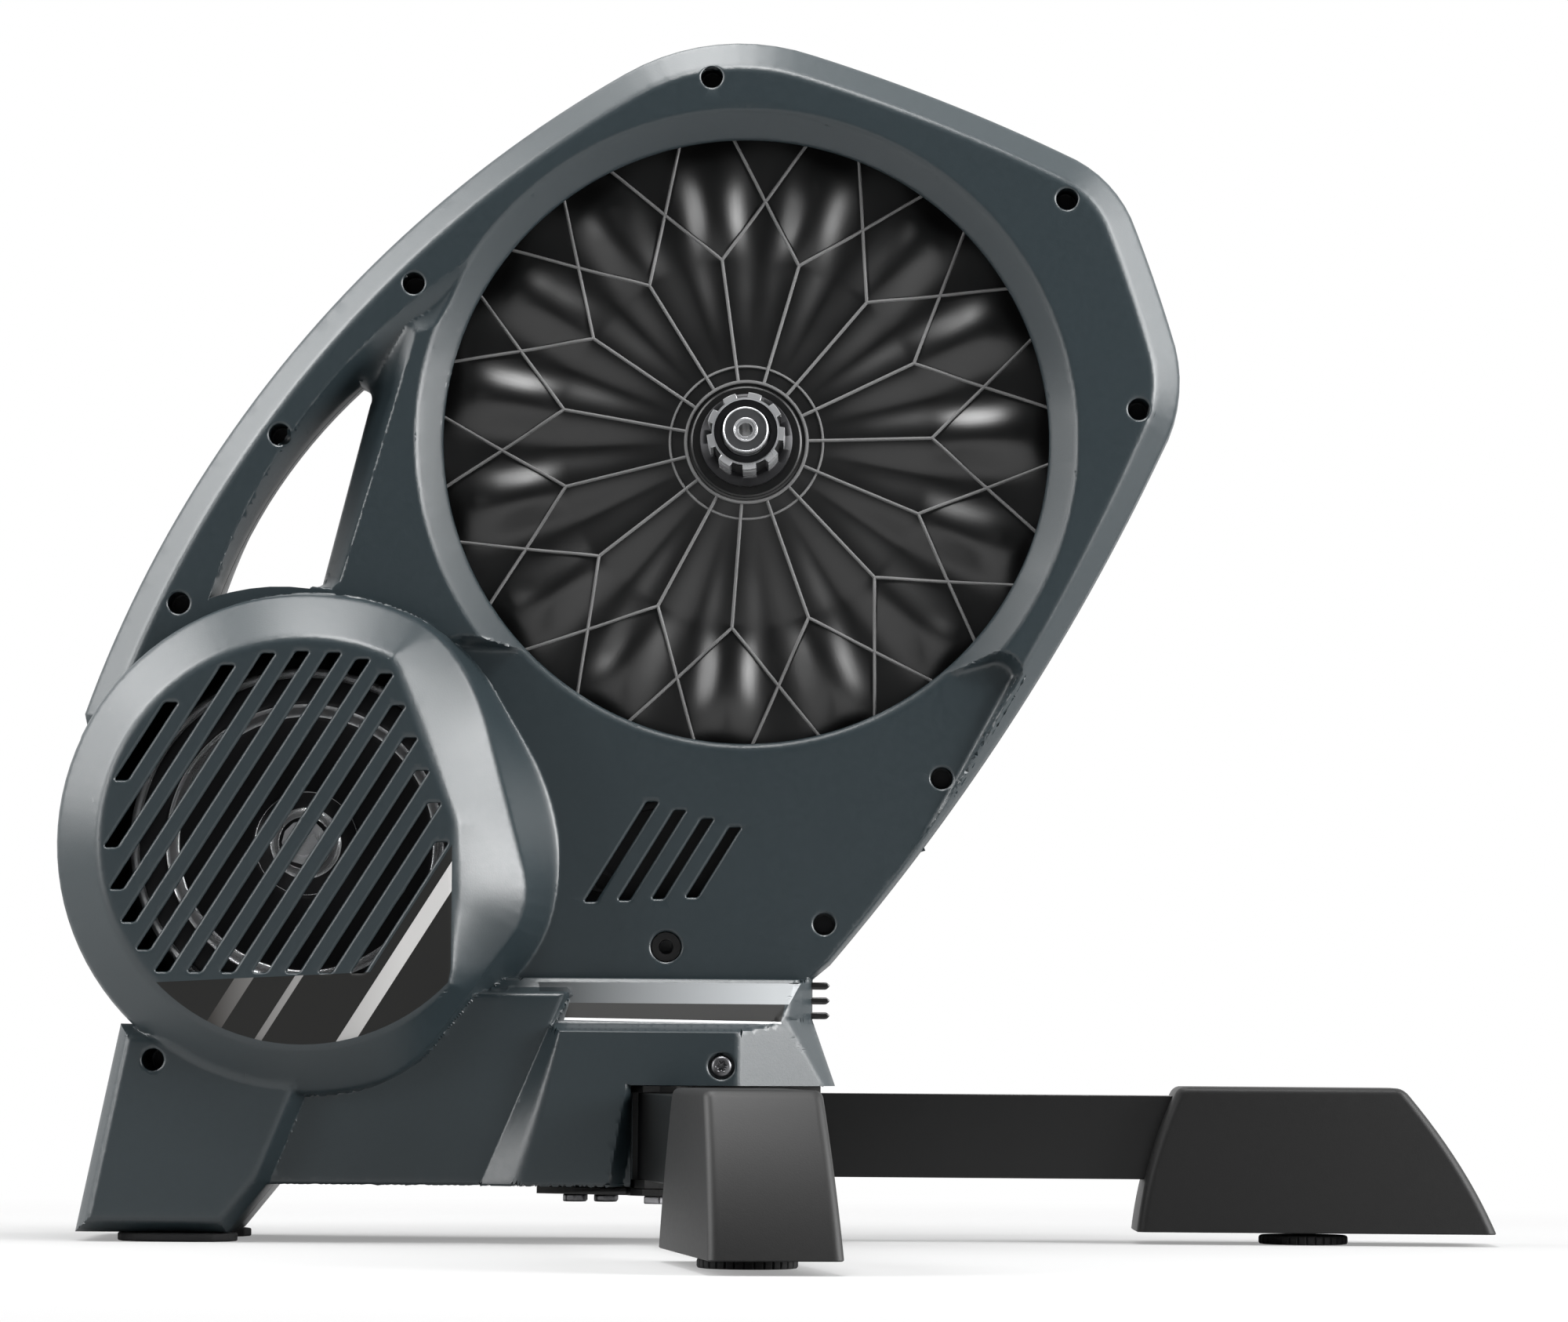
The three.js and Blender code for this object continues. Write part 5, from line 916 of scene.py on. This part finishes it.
def cover_mesh(name, drive, prints=()):
    """The skin, its walls to the seam with a small groove, and the wells of its screws."""
    skin, triangles, finishes = cover_surface(drive, list(prints))
    border = border_of(triangles, len(skin))
    middle = (skin[border[:, 0]] + skin[border[:, 1]])[:, (0, 2)] / 2
    wells = WELLS if drive else []
    closed_at = np.full(len(border), SEAM)
    # A border's kind: 0 gets a wall down to the seam, 1 is a well, and 2 stays open.
    kind = np.zeros(len(border), dtype=int)
    for centre, radius, bottom in wells:
        ring = np.abs(np.hypot(*(middle - centre).T) - radius) < BESIDE
        kind[ring], closed_at[ring] = 1, bottom
    for hole in VENTS + (SLOTS if drive else []):
        kind[np.abs(inside(middle, hole)[0]) < 0.12] = 2
    centre_radius = OPENING_RADIUS if drive else LEFT_HOLE_RADIUS
    kind[np.abs(np.hypot(middle[:, 0], middle[:, 1] - AXLE_HEIGHT) - centre_radius) < BESIDE] = 2
    vertices, faces = [skin], [triangles]
    count = len(skin)
    for wanted in (0, 1):
        part = border[kind == wanted]
        low = closed_at[kind == wanted]
        rim_points, local = np.unique(part, return_inverse=True)
        local = local.reshape(-1, 2)
        floor_level = np.zeros(len(rim_points))
        floor_level[local[:, 0]] = low
        top = skin[rim_points]
        along = skin[part[:, 1]][:, (0, 2)] - skin[part[:, 0]][:, (0, 2)]
        left = np.stack([-along[:, 1], along[:, 0]], 1)
        left /= np.maximum(np.linalg.norm(along, axis=1), 1e-9)[:, None]
        lean = np.zeros((len(rim_points), 2))
        np.add.at(lean, local[:, 0], left)
        np.add.at(lean, local[:, 1], left)
        lean /= np.maximum(np.linalg.norm(lean, axis=1), 1e-9)[:, None]
        if wanted == 0:
            first = top.copy()
            first[:, 1] = np.minimum(top[:, 1], EDGE_LEVEL)
            second = top.copy()
            second[:, (0, 2)] += SEAM_GROOVE * lean
            second[:, 1] = SEAM
            rows = [first, second]
        else:
            first = top.copy()
            first[:, 1] = floor_level
            rows = [first]
        above = rim_points[local]
        for row in rows:
            below = count + local
            faces.append(np.column_stack([above[:, 1], above[:, 0], below[:, 0]]))
            faces.append(np.column_stack([above[:, 1], below[:, 0], below[:, 1]]))
            vertices.append(row)
            count += len(row)
            above = below
        if wanted == 1:
            last = count - len(rim_points)
            place = top[:, (0, 2)]
            for centre, radius, _ in wells:
                ring = np.flatnonzero(np.abs(np.hypot(*(place - centre).T) - radius) < BESIDE)
                turn = np.arctan2(place[ring, 1] - centre[1], place[ring, 0] - centre[0])
                loop = last + ring[np.argsort(turn)]
                faces.append(np.column_stack([np.full(len(loop) - 2, loop[0]), loop[1:-1], loop[2:]]))
    points = np.concatenate(vertices)
    corners = np.concatenate(faces)
    finishes = np.concatenate([finishes, np.zeros(len(corners) - len(finishes), dtype=int)])
    if not drive:
        points[:, 1] *= -1
        corners = corners[:, ::-1]
    mesh = new_mesh(name, in_frame(points[:, 0], points[:, 1], points[:, 2]), corners, math.radians(32))
    mesh.polygons.foreach_set("material_index", finishes)
    print(name, "points", len(points), "triangles", len(corners))
    return mesh


def add_cover(name, node, drive, prints=()):
    """The cover's mesh with its 3 mm wall added inwards."""
    mesh = cover_mesh(name, drive, prints)
    finishes = [SLATE, PRINT_BLACK, SILVER_FACE, SILVER_STRIP, PRINT_WHITE]
    piece = add_piece(name, mesh, finishes, "base", "slate_plastic", node)
    wall = piece.modifiers.new("wall", "SOLIDIFY")
    wall.thickness = WALL * MM
    wall.offset = -1


def cut_by(shape, place, facing):
    """What is left of a convex outline on the side of a line that faces away from a direction: corners
    beyond the line go, and a corner is put where a side crosses it."""
    reach = (shape - np.array(place)) @ np.array(facing)
    kept = []
    for k in range(len(shape)):
        here, there = reach[k - 1], reach[k]
        if (here <= 0) != (there <= 0):
            kept.append(shape[k - 1] + (shape[k] - shape[k - 1]) * here / (here - there))
        if there <= 0:
            kept.append(shape[k])
    return np.array(kept)


def face_prints():
    """The print under the slots: a dark field up to a level line and a leaning line, and three leaning
    silver bars on it. Each is a piece of the slatted face's own outline, cut by straight lines."""
    face = moved(GRILLE, 1.2)[:, :2]
    corner = np.array([-164.5, 120.5])
    aside = np.array([math.sin(SLOT_LEAN), -math.cos(SLOT_LEAN)])
    below = np.array([-0.055, 1.0])
    low_field = cut_by(face, corner, below)
    side_field = cut_by(cut_by(face, corner, -below), corner, -aside)
    shapes = [(low_field, 1), (side_field, 1)]
    for start, width in ((4.0, 7.0), (-27.0, 3.0), (-49.0, 7.0)):
        for field in (low_field, side_field):
            bar = cut_by(field, corner + start * aside, -aside)
            bar = cut_by(bar, corner + (start + width) * aside, aside)
            if len(bar) > 2:
                shapes.append((bar, 2))
    return [(spaced(shape, 6.0), number) for shape, number in shapes if len(shape) > 2]


STRIP_PRINTS = [(spaced(np.array(corners), 6.0), number) for corners, number in (
    ([(-91.5, 117.1), (26.6, 117.3), (21.4, 107.8), (-76.8, 107.6), (-77.6, 112.8), (-90.5, 112.8)], 3),
    ([(-77.3, 107.9), (19.6, 107.8), (17.9, 100.0), (-79.2, 101.2)], 1),
    ([(-79.2, 101.2), (17.9, 100.0), (18.0, 99.0), (-79.5, 100.1)], 4),
)]
add_cover("drive_cover_skin", "drive_side_cover", True, face_prints() + STRIP_PRINTS)
add_cover("left_cover_skin", "left_side_cover", False)

# %% [markdown]
# The driven pulley is the face of the machine: a glossy black moulding whose web is folded into fifteen
# ridges. Each ridge climbs from the hub to a kink, dips, and swells again into a lobe under the rim.
# The web is a height over radius and angle, and the ribs on it are bars that follow the same height.
# The ribs and the rings round the hub are the same black moulding, and their lighter grey is painted
# highlight.

# %% The pulley's web and ribs
LOBES = 15
LOBE_START = math.radians(-94)
LOBE_PITCH = 2 * math.pi / LOBES
HUB_RADIUS, KINK_RADIUS, RIM_INNER, PULLEY_RADIUS = 27.7, 84.6, 143.0, 150.0


def web_level(radius, angle):
    """Depth of the web: a cone from 16.5 at the hub to 8.5 at the kink and flat beyond, plus ridges. A
    ridge's height grows with the radius to the kink, falls in the dip behind it and swells in the lobe;
    across, it is a squared cosine of the angle from the ridge."""
    across = np.cos(LOBES * (angle - LOBE_START) / 2) ** 2
    inner = ((radius - HUB_RADIUS) / (KINK_RADIUS - HUB_RADIUS)).clip(0, 1)
    outer = ((radius - KINK_RADIUS) / (RIM_INNER - KINK_RADIUS)).clip(0, 1)
    ridge = 4.2 * np.sin(np.pi / 2 * inner ** 1.5) * (1 - np.sin(np.pi * outer.clip(0, 0.5)) ** 1.4)
    lobe = 7.0 * np.sin(np.pi * (outer ** 0.9).clip(0, 1)) ** 1.3
    return 8.5 + 8.0 * (1 - inner) ** 1.2 + ridge * across ** 0.8 + lobe * across ** 1.4


def rows_mesh(rows):
    """Vertices and quads of rows of points closed round both ways."""
    return np.concatenate(rows), grid_faces(len(rows), len(rows[0]), closed_rows=True)


def capped_rows(rows):
    """Vertices and faces of rows that are closed round, with a cap on the first row and on the last."""
    size = len(rows[0])
    faces = grid_faces(len(rows), size).tolist()
    faces += [list(range(size))[::-1], list(range((len(rows) - 1) * size, len(rows) * size))]
    return np.concatenate(rows), faces


def joined(name, parts, sharp_angle=SMOOTH_ANGLE):
    """One mesh from parts of (vertices in millimetres, faces, finish number), turned outwards."""
    counts = np.cumsum([0] + [len(part[0]) for part in parts])
    vertices = np.concatenate([part[0] for part in parts])
    faces = [[corner + int(first) for corner in face]
             for part, first in zip(parts, counts) for face in part[1]]
    mesh = bpy.data.meshes.new(name)
    mesh.from_pydata(in_frame(vertices[:, 0], vertices[:, 1], vertices[:, 2]).tolist(), [], faces)
    mesh.polygons.foreach_set("material_index", np.concatenate([np.full(len(p[1]), p[2]) for p in parts]))
    return outward(mesh, sharp_angle)


def polar_rows(profile, steps, centre, level=None):
    """Rows round a centre, one for each (radius, depth). Where the depth is nan, level(radius, angle)
    gives it."""
    angle = LOBE_START + 2 * np.pi * np.arange(steps) / steps
    rows = []
    for radius, depth in profile:
        out = level(np.full(steps, radius), angle) if np.isnan(depth) else np.full(steps, depth)
        rows.append(np.column_stack([
            centre[0] + radius * np.cos(angle), out, centre[1] + radius * np.sin(angle)]))
    return rows


def rib_bar(start, end, width=1.5, height=1.5, stations=26):
    """A bar along the straight line between two (radius, angle) places. Its section is a narrow arch whose
    foot lies below the web and whose top stands height above it."""
    ends = [np.array([radius * math.cos(angle), radius * math.sin(angle)])
            for radius, angle in (start, end)]
    share = np.linspace(0, 1, stations)[:, None]
    line = ends[0] * (1 - share) + ends[1] * share
    along = (ends[1] - ends[0]) / np.linalg.norm(ends[1] - ends[0])
    aside = np.array([-along[1], along[0]])
    section = np.array([(-0.62, -2.0), (-0.5, 0.0), (-0.34, 0.8), (-0.14, 1.0), (0.14, 1.0), (0.34, 0.8),
                        (0.5, 0.0), (0.62, -2.0)])
    level = web_level(np.hypot(*line.T), np.arctan2(line[:, 1], line[:, 0]))
    places = line[:, None] + aside * (section[:, :1] * width)[None]
    depth = level[:, None] + np.where(section[:, 1] > 0, section[:, 1] * height, section[:, 1])
    vertices = np.stack([places[..., 0], depth, places[..., 1] + AXLE_HEIGHT], -1).reshape(-1, 3)
    size = len(section)
    faces = grid_faces(stations, size).tolist()
    faces += [list(range(size)), list(range((stations - 1) * size, stations * size))[::-1]]
    return vertices, faces


web_radii = np.concatenate([
    np.linspace(28.6, KINK_RADIUS, 26), np.linspace(KINK_RADIUS, RIM_INNER, 30)[1:]])
pulley_profile = [
    (15.6, 18.6), (15.6, 20.4), (16.2, 21), (24.4, 21), (25.2, 20.3), (25.4, 18.6), (26.6, 18.4),
    (27.7, 17.6),
    *[(radius, np.nan) for radius in web_radii],
    (RIM_INNER + 0.3, 16.6), (RIM_INNER + 1, 17.5), (PULLEY_RADIUS - 0.6, 17.5), (PULLEY_RADIUS, 16.9),
    (PULLEY_RADIUS, 3.1), (PULLEY_RADIUS - 0.6, 2.5), (RIM_INNER, 2.5), (RIM_INNER - 1, 5), (HUB_RADIUS, 5),
    (26, 2.5), (15.6, 2.5),
]
web_steps = LOBES * 20
pulley_parts = [(*rows_mesh(polar_rows(pulley_profile, web_steps, AXLE, web_level)), 0)]
# Finish 1, on the ribs and the two rings, is the painted highlight.
for k in range(LOBES):
    kink = LOBE_START + LOBE_PITCH * k
    pulley_parts.append((*rib_bar((26.4, kink), (KINK_RADIUS, kink)), 1))
    for side in (-1, 1):
        tip = (RIM_INNER + 1.2, kink + side * 0.82 * LOBE_PITCH)
        pulley_parts.append((*rib_bar((KINK_RADIUS, kink), tip), 1))
ring_section = np.array([(34.1, -2.0), (34.2, 0.1), (34.5, 0.8), (35.1, 0.8), (35.4, 0.1), (35.5, -2.0)])
ring_steps = 240
ring_angle = LOBE_START + 2 * np.pi * np.arange(ring_steps) / ring_steps
ring_rows = [np.column_stack([
    radius * np.cos(ring_angle), web_level(np.full(ring_steps, radius), ring_angle) + up,
    AXLE_HEIGHT + radius * np.sin(ring_angle)]) for radius, up in ring_section]
pulley_parts.append((*rows_mesh(ring_rows), 1))
hub_ring = [(26.7, 16), (26.8, 19.0), (27.2, 19.4), (27.9, 19.4), (28.2, 19.0), (28.4, 15)]
pulley_parts.append((*rows_mesh(polar_rows(hub_ring, 120, AXLE)), 1))
pulley_mesh = joined("ribbed_pulley", pulley_parts)
add_piece("ribbed_pulley", pulley_mesh, [GLOSS_BLACK, RIB_PAINTED_HIGHLIGHT], "pulley", "black_gloss_plastic",
          "driven_pulley")
print("pulley faces", len(pulley_mesh.polygons))

# %% [markdown]
# The freehub takes the cassette: nine splines round a turned steel body. Its front is a bright ring round
# a deep bore, and in the bore sits the end cap with the axle's tip.
# A spline is a radius that depends on the angle, so the whole body is again one grid.

# %% Freehub and end caps
SPLINES = 9


def freehub_mesh():
    """Rows along the body: the collar and bore are round, and the rows between follow the splines, whose
    radius swings between root and top with short flanks."""
    steps = 360
    angle = 2 * np.pi * np.arange(steps) / steps
    wave = np.cos(SPLINES * angle + 0.6)
    share = ((wave + 0.22) / 0.2).clip(0, 1)
    share = share * share * (3 - 2 * share)
    splined = 15.5 + 2.0 * share
    rows = []
    for kind, radius, depth in [
        (0, 11.0, 30), (0, 11.0, 70.2), (0, 11.6, 71.0), (0, 14.2, 71.2), (0, 14.7, 72), (0, 15.2, 72),
        (1, -0.35, 71.7), (1, 0, 71.0), (1, 0, 64.5), (1, -0.3, 64.2), (1, -0.3, 63.2), (1, 0, 62.9),
        (1, 0, 30), (0, 17.8, 29.8), (0, 20.6, 29), (0, 21, 28.6), (0, 21, 23.5), (0, 20.5, 23),
        (0, 17, 23), (0, 17, 30),
    ]:
        reach = splined + radius if kind else np.full(steps, radius)
        rows.append(np.column_stack([
            reach * np.cos(angle), np.full(steps, depth), AXLE_HEIGHT + reach * np.sin(angle)]))
    return joined("splined_freehub", [(*rows_mesh(rows), 0)], math.radians(30))


def face_values(mesh, kind):
    """The middles or the normals of a mesh's faces, one row for each."""
    values = np.empty(len(mesh.polygons) * 3)
    mesh.polygons.foreach_get(kind, values)
    return values.reshape(-1, 3)


def radius_from(centre, mesh):
    """How far each face's middle lies from an axis (x, z) in the trainer's terms, in millimetres."""
    middles = face_values(mesh, "center")
    return np.hypot(middles[:, 0] - AXLE_X - centre[0] * MM, middles[:, 2] - centre[1] * MM) / MM


def two_tone(mesh, centre, low, high):
    """Gives the faces that look along the axis between two radii the second finish."""
    radius = radius_from(centre, mesh)
    facing = np.abs(face_values(mesh, "normal")[:, 1]) > 0.9
    between = (radius > low) & (radius < high)
    mesh.polygons.foreach_set("material_index", (between & facing).astype(int))


splines = freehub_mesh()
radius = radius_from(AXLE, splines)
face_depth = (MIDDLE_Y - face_values(splines, "center")[:, 1]) / MM
# Painted shade: the faces in the spline grooves and in the bore take the dark steel, where the splines and
# the bore hide the light. The back end, below 31 mm, is dark as well.
in_groove = (radius > 15.3) & (radius < 16.6) & (face_depth > 30) & (face_depth < 71.5)
dark = in_groove | (radius < 14) | (face_depth < 31)
splines.polygons.foreach_set("material_index", dark.astype(int))
add_piece("splined_freehub", splines, [BRIGHT_STEEL, BLACK_STEEL_AND_SHADE], "freehub", "bright_steel",
          "freehub_body")
print("dark faces on the freehub", int(dark.sum()))
CAP_DARK = finish("cap_face", linear(88, 89, 91), 0.4, 2400, 0.01, mottle=0.4, mottle_scale=160,
                  metallic=0.8)
cap = turned_mesh("drive_cap", [
    (4.7, 66), (4.7, 79.0), (5.2, 79.3, 0.2), (9.5, 79.3, 0.2), (9.7, 80, 0.1), (10.2, 79.6, 0.3),
    (10.2, 73.5), (10.2, 66),
], AXLE, 96)
two_tone(cap, AXLE, 5.2, 9.6)
add_piece("drive_cap", cap, [BRIGHT_STEEL, CAP_DARK], "base", "zinc_steel", "drive_end_cap")
tip = turned_mesh("axle_tip", [
    (3.1, 60), (3.1, 78.4, 0.3), (4.4, 78.6, 0.2), (4.6, 79.6, 0.2), (5.5, 79.4, 0.4), (5.5, 60),
], AXLE, 72)
two_tone(tip, AXLE, 3.1, 4.4)
add_piece("axle_tip", tip, [BRIGHT_STEEL, CAP_DARK], "base", "zinc_steel")
left_cap = turned_mesh("left_cap", [
    (4.7, -50), (4.7, -61.0), (9.5, -61.3, 0.2), (10.2, -61.6, 0.4), (10.2, -54, 0.4), (14, -54, 0.6),
    (14, -51), (10, -50),
], AXLE, 96)
add_piece("left_cap", left_cap, [ZINC_STEEL], "base", "zinc_steel", "left_end_cap")

# %% [markdown]
# The flywheel spins behind the grille, so only its bright turned rim and hub are seen through the slots.
# It is a plain lathe shape: a heavy rim, a thin web and a hub.

# %% Flywheel
wheel = turned_mesh("turned_flywheel", [
    (6.4, 42), (6.4, 66, 0.5), (12, 66, 1), (14, 60, 2), (22, 57, 3), (24, 56, 1), (58, 56, 3), (60, 66, 1),
    (62, 68, 1.5), (73.5, 68, 1), (74.5, 67, 0.6), (76.5, 67, 0.6), (78, 65.5, 1), (78, 42, 1), (76, 40, 1),
    (61, 40, 1), (59, 48, 2), (22, 48, 2), (18, 42, 2),
], FLYWHEEL, 128)
two_tone(wheel, FLYWHEEL, 8, 73.4)
add_piece("turned_flywheel", wheel, [BRIGHT_STEEL, BLACK_STEEL_AND_SHADE], "flywheel", "black_steel", "flywheel")

# %% [markdown]
# Each folding leg ends in a moulded foot that slips over the tube. From above it is a rounded rectangle
# that grows towards the floor, and its two ends are cut at a slant, so it is a loft of rounded rectangles.
# The same rule makes both feet; only the line of the leg differs.

# %% Legs: feet and pads
PAD_NOTCHES = 32
PAD_REACH = 295  # the pad's centre along the leg, from the pivot


def rounded_rectangle(near, far, half, radius, steps=8):
    """Points round a rectangle from near to far and half a width each side, with round corners."""
    turn = np.linspace(0, np.pi / 2, steps)
    corners = [(far - radius, half - radius, 0), (near + radius, half - radius, 1),
               (near + radius, -half + radius, 2), (far - radius, -half + radius, 3)]
    return np.concatenate([np.column_stack([x + radius * np.cos(turn + quarter * np.pi / 2),
                                            y + radius * np.sin(turn + quarter * np.pi / 2)])
                           for x, y, quarter in corners])


def foot_parts(low=5.6, high=72.0):
    """The foot's rows from the floor up, in (along the leg, height, across): width and ends follow the
    height, and the last rows round the top edge over. The underside is open for 3 mm, as a moulding is."""
    rows = []
    stations = [(low + 3.2, -4.0), (low + 3.2, -2.6), (low, -2.2), (low, -0.6), (low + 0.5, 0)]
    stations += [(z, 0) for z in np.linspace(low + 4, high - 3.2, 12)]
    stations += [(high - 2.2, -0.1), (high - 1.2, -0.55), (high - 0.45, -1.3), (high - 0.05, -2.4),
                 (high, -3.8)]
    for z, grow in stations:
        share = (z - low) / (high - low)
        bow = 4 * share * (1 - share)
        near = 217.0 + 19.0 * share - grow - 3.0 * bow
        far = 381.7 - 42.7 * share + grow + 3.6 * bow
        half = 27.1 - 3.0 * share + grow
        ring = rounded_rectangle(near, far, half, max(4.8 + grow * 0.6, 0.8))
        rows.append(np.column_stack([ring[:, 0], np.full(len(ring), z), ring[:, 1]]))
    return capped_rows(rows)


def on_leg(side, vertices):
    """Turns places (along the leg, height, across) into the trainer's terms for one leg."""
    pivot, pad = middle_of("pivot_bolt_" + side), middle_of("leg_pad_" + side)
    start = np.array([(pivot.x - AXLE_X) / MM, (MIDDLE_Y - pivot.y) / MM])
    end = np.array([(pad.x - AXLE_X) / MM, (MIDDLE_Y - pad.y) / MM])
    along = (end - start) / np.linalg.norm(end - start)
    flat = start + vertices[:, :1] * along + vertices[:, 2:] * np.array([-along[1], along[0]])
    return np.column_stack([flat[:, 0], flat[:, 1], vertices[:, 1]])


def pad_parts(steps=192):
    """A rubber disc whose rim is cut by shallow notches."""
    angle = 2 * np.pi * np.arange(steps) / steps
    notch = 0.7 * (np.cos(PAD_NOTCHES * angle) > 0.55)
    rows = []
    for radius, z, cut in [
        (5.9, 29.0, 0), (5.9, 4.4, 0), (19.2, 4.3, 0), (20.2, 3.8, 0.6), (20.5, 3.0, 1), (20.5, 1.0, 1),
        (20.0, 0.2, 0.6), (18.6, 0.0, 0), (15.8, 0.0, 0), (15.2, 0.7, 0),
    ]:
        reach = radius - notch * cut
        rows.append(np.column_stack([
            PAD_REACH + reach * np.cos(angle), np.full(steps, z), reach * np.sin(angle)]))
    return capped_rows(rows)


for side in ("drive", "left"):
    for name, (vertices, faces), material, body, slot, node in (
        ("moulded_foot_", foot_parts(), FOOT_PLASTIC, "_leg", "foot_plastic", "leg_foot_"),
        ("notched_pad_", pad_parts(), RUBBER, "_leg_pad", "rubber", "leg_pad_"),
    ):
        mesh = joined(name + side, [(on_leg(side, vertices), faces, 0)])
        add_piece(name + side, mesh, material, side + body, slot, node + side)
        print(name + side, "faces", len(mesh.polygons))

# %% [markdown]
# Plates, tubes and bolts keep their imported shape, but real sheet and tube have soft edges. A copy of the
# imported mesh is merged, its flat faces are joined, and a narrow bevel rounds its edges.

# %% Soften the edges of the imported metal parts
def soften(node, width, material, segments=2, angle=28):
    """A copy of a node's mesh with its corners joined, flat faces merged, and edges bevelled by width."""
    source = frame["nodes"][node]
    mesh = source.data.copy()
    work = bmesh.new()
    work.from_mesh(mesh)
    bmesh.ops.remove_doubles(work, verts=work.verts, dist=1e-6)
    bmesh.ops.dissolve_limit(work, angle_limit=math.radians(1), verts=work.verts, edges=work.edges)
    work.to_mesh(mesh)
    work.free()
    mesh.materials.clear()
    mesh.shade_smooth()
    mesh.set_sharp_from_angle(angle=math.radians(angle))
    piece = add_piece("soft_" + node, mesh, material, source["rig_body"], NODE_SLOT.get(node), node)
    bevel = piece.modifiers.new("soft_edges", "BEVEL")
    bevel.width = width * MM
    bevel.segments = segments
    bevel.limit_method = "ANGLE"
    bevel.angle_limit = math.radians(angle)
    bevel.use_clamp_overlap = True


NODE_SLOT = {}
for name, node in frame["nodes"].items():
    if node.data.materials and node.data.materials[0]:
        NODE_SLOT[name] = node.data.materials[0].name.split(".")[0]
print("packed materials", sorted(set(NODE_SLOT.values())))
for side in ("drive", "left"):
    soften("leg_tube_" + side, 2.2, BLACK_PAINT, 4)
    soften("pivot_bolt_" + side, 0.5, ZINC_STEEL)
    soften("pivot_nut_" + side, 0.5, ZINC_STEEL)
    soften("rear_pad_" + side, 0.8, RUBBER)
    soften("bracket_bolt_front_" + side, 0.9, ZINC_STEEL, 3)
    soften("bracket_bolt_rear_" + side, 0.9, ZINC_STEEL, 3)
soften("leg_bracket", 0.6, BLACK_PAINT)
soften("front_louvre", 0.7, GLOSS_BLACK)
soften("base_beam", 1.2, BLACK_PAINT)
soften("main_frame", 0.5, FRAME_STEEL)

# %% [markdown]
# The screw in the block over the legs is the only one that lies open: a round head with a star recess.

# %% The open base screw
def star_screw():
    """Head rows from the shank up over the dome and down into a recess whose radius has six lobes."""
    steps = 120
    angle = 2 * np.pi * np.arange(steps) / steps
    star = 2.0 + 0.42 * np.cos(6 * angle)
    rows = []
    for radius, depth, lobed in [
        (1.7, 40.0, 0), (1.7, 55.2, 0), (5.0, 55.3, 0), (5.0, 55.9, 0), (4.8, 56.7, 0), (4.2, 57.4, 0),
        (3.4, 57.8, 0), (0.35, 57.9, 1), (0, 57.6, 1), (-0.15, 55.9, 1), (-0.9, 55.5, 1),
    ]:
        reach = star + radius if lobed else np.full(steps, radius)
        rows.append(np.column_stack([BASE_SCREW[0] + reach * np.cos(angle), np.full(steps, depth),
                                     BASE_SCREW[1] + reach * np.sin(angle)]))
    return joined("star_screw", [(*capped_rows(rows), 0)])


add_piece("star_screw", star_screw(), ZINC_STEEL, "base", "zinc_steel", "base_screw")

# %% [markdown]
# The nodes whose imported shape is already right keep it, and take the finish of their material slot.

# %% Finish the nodes that stay
for name, node in frame["nodes"].items():
    chosen = SLOT_FINISH.get(NODE_SLOT.get(name), FRAME_STEEL)
    node.data.materials.clear()
    node.data.materials.append(chosen)
print("slots found for", len(NODE_SLOT), "of", len(frame["nodes"]), "nodes")
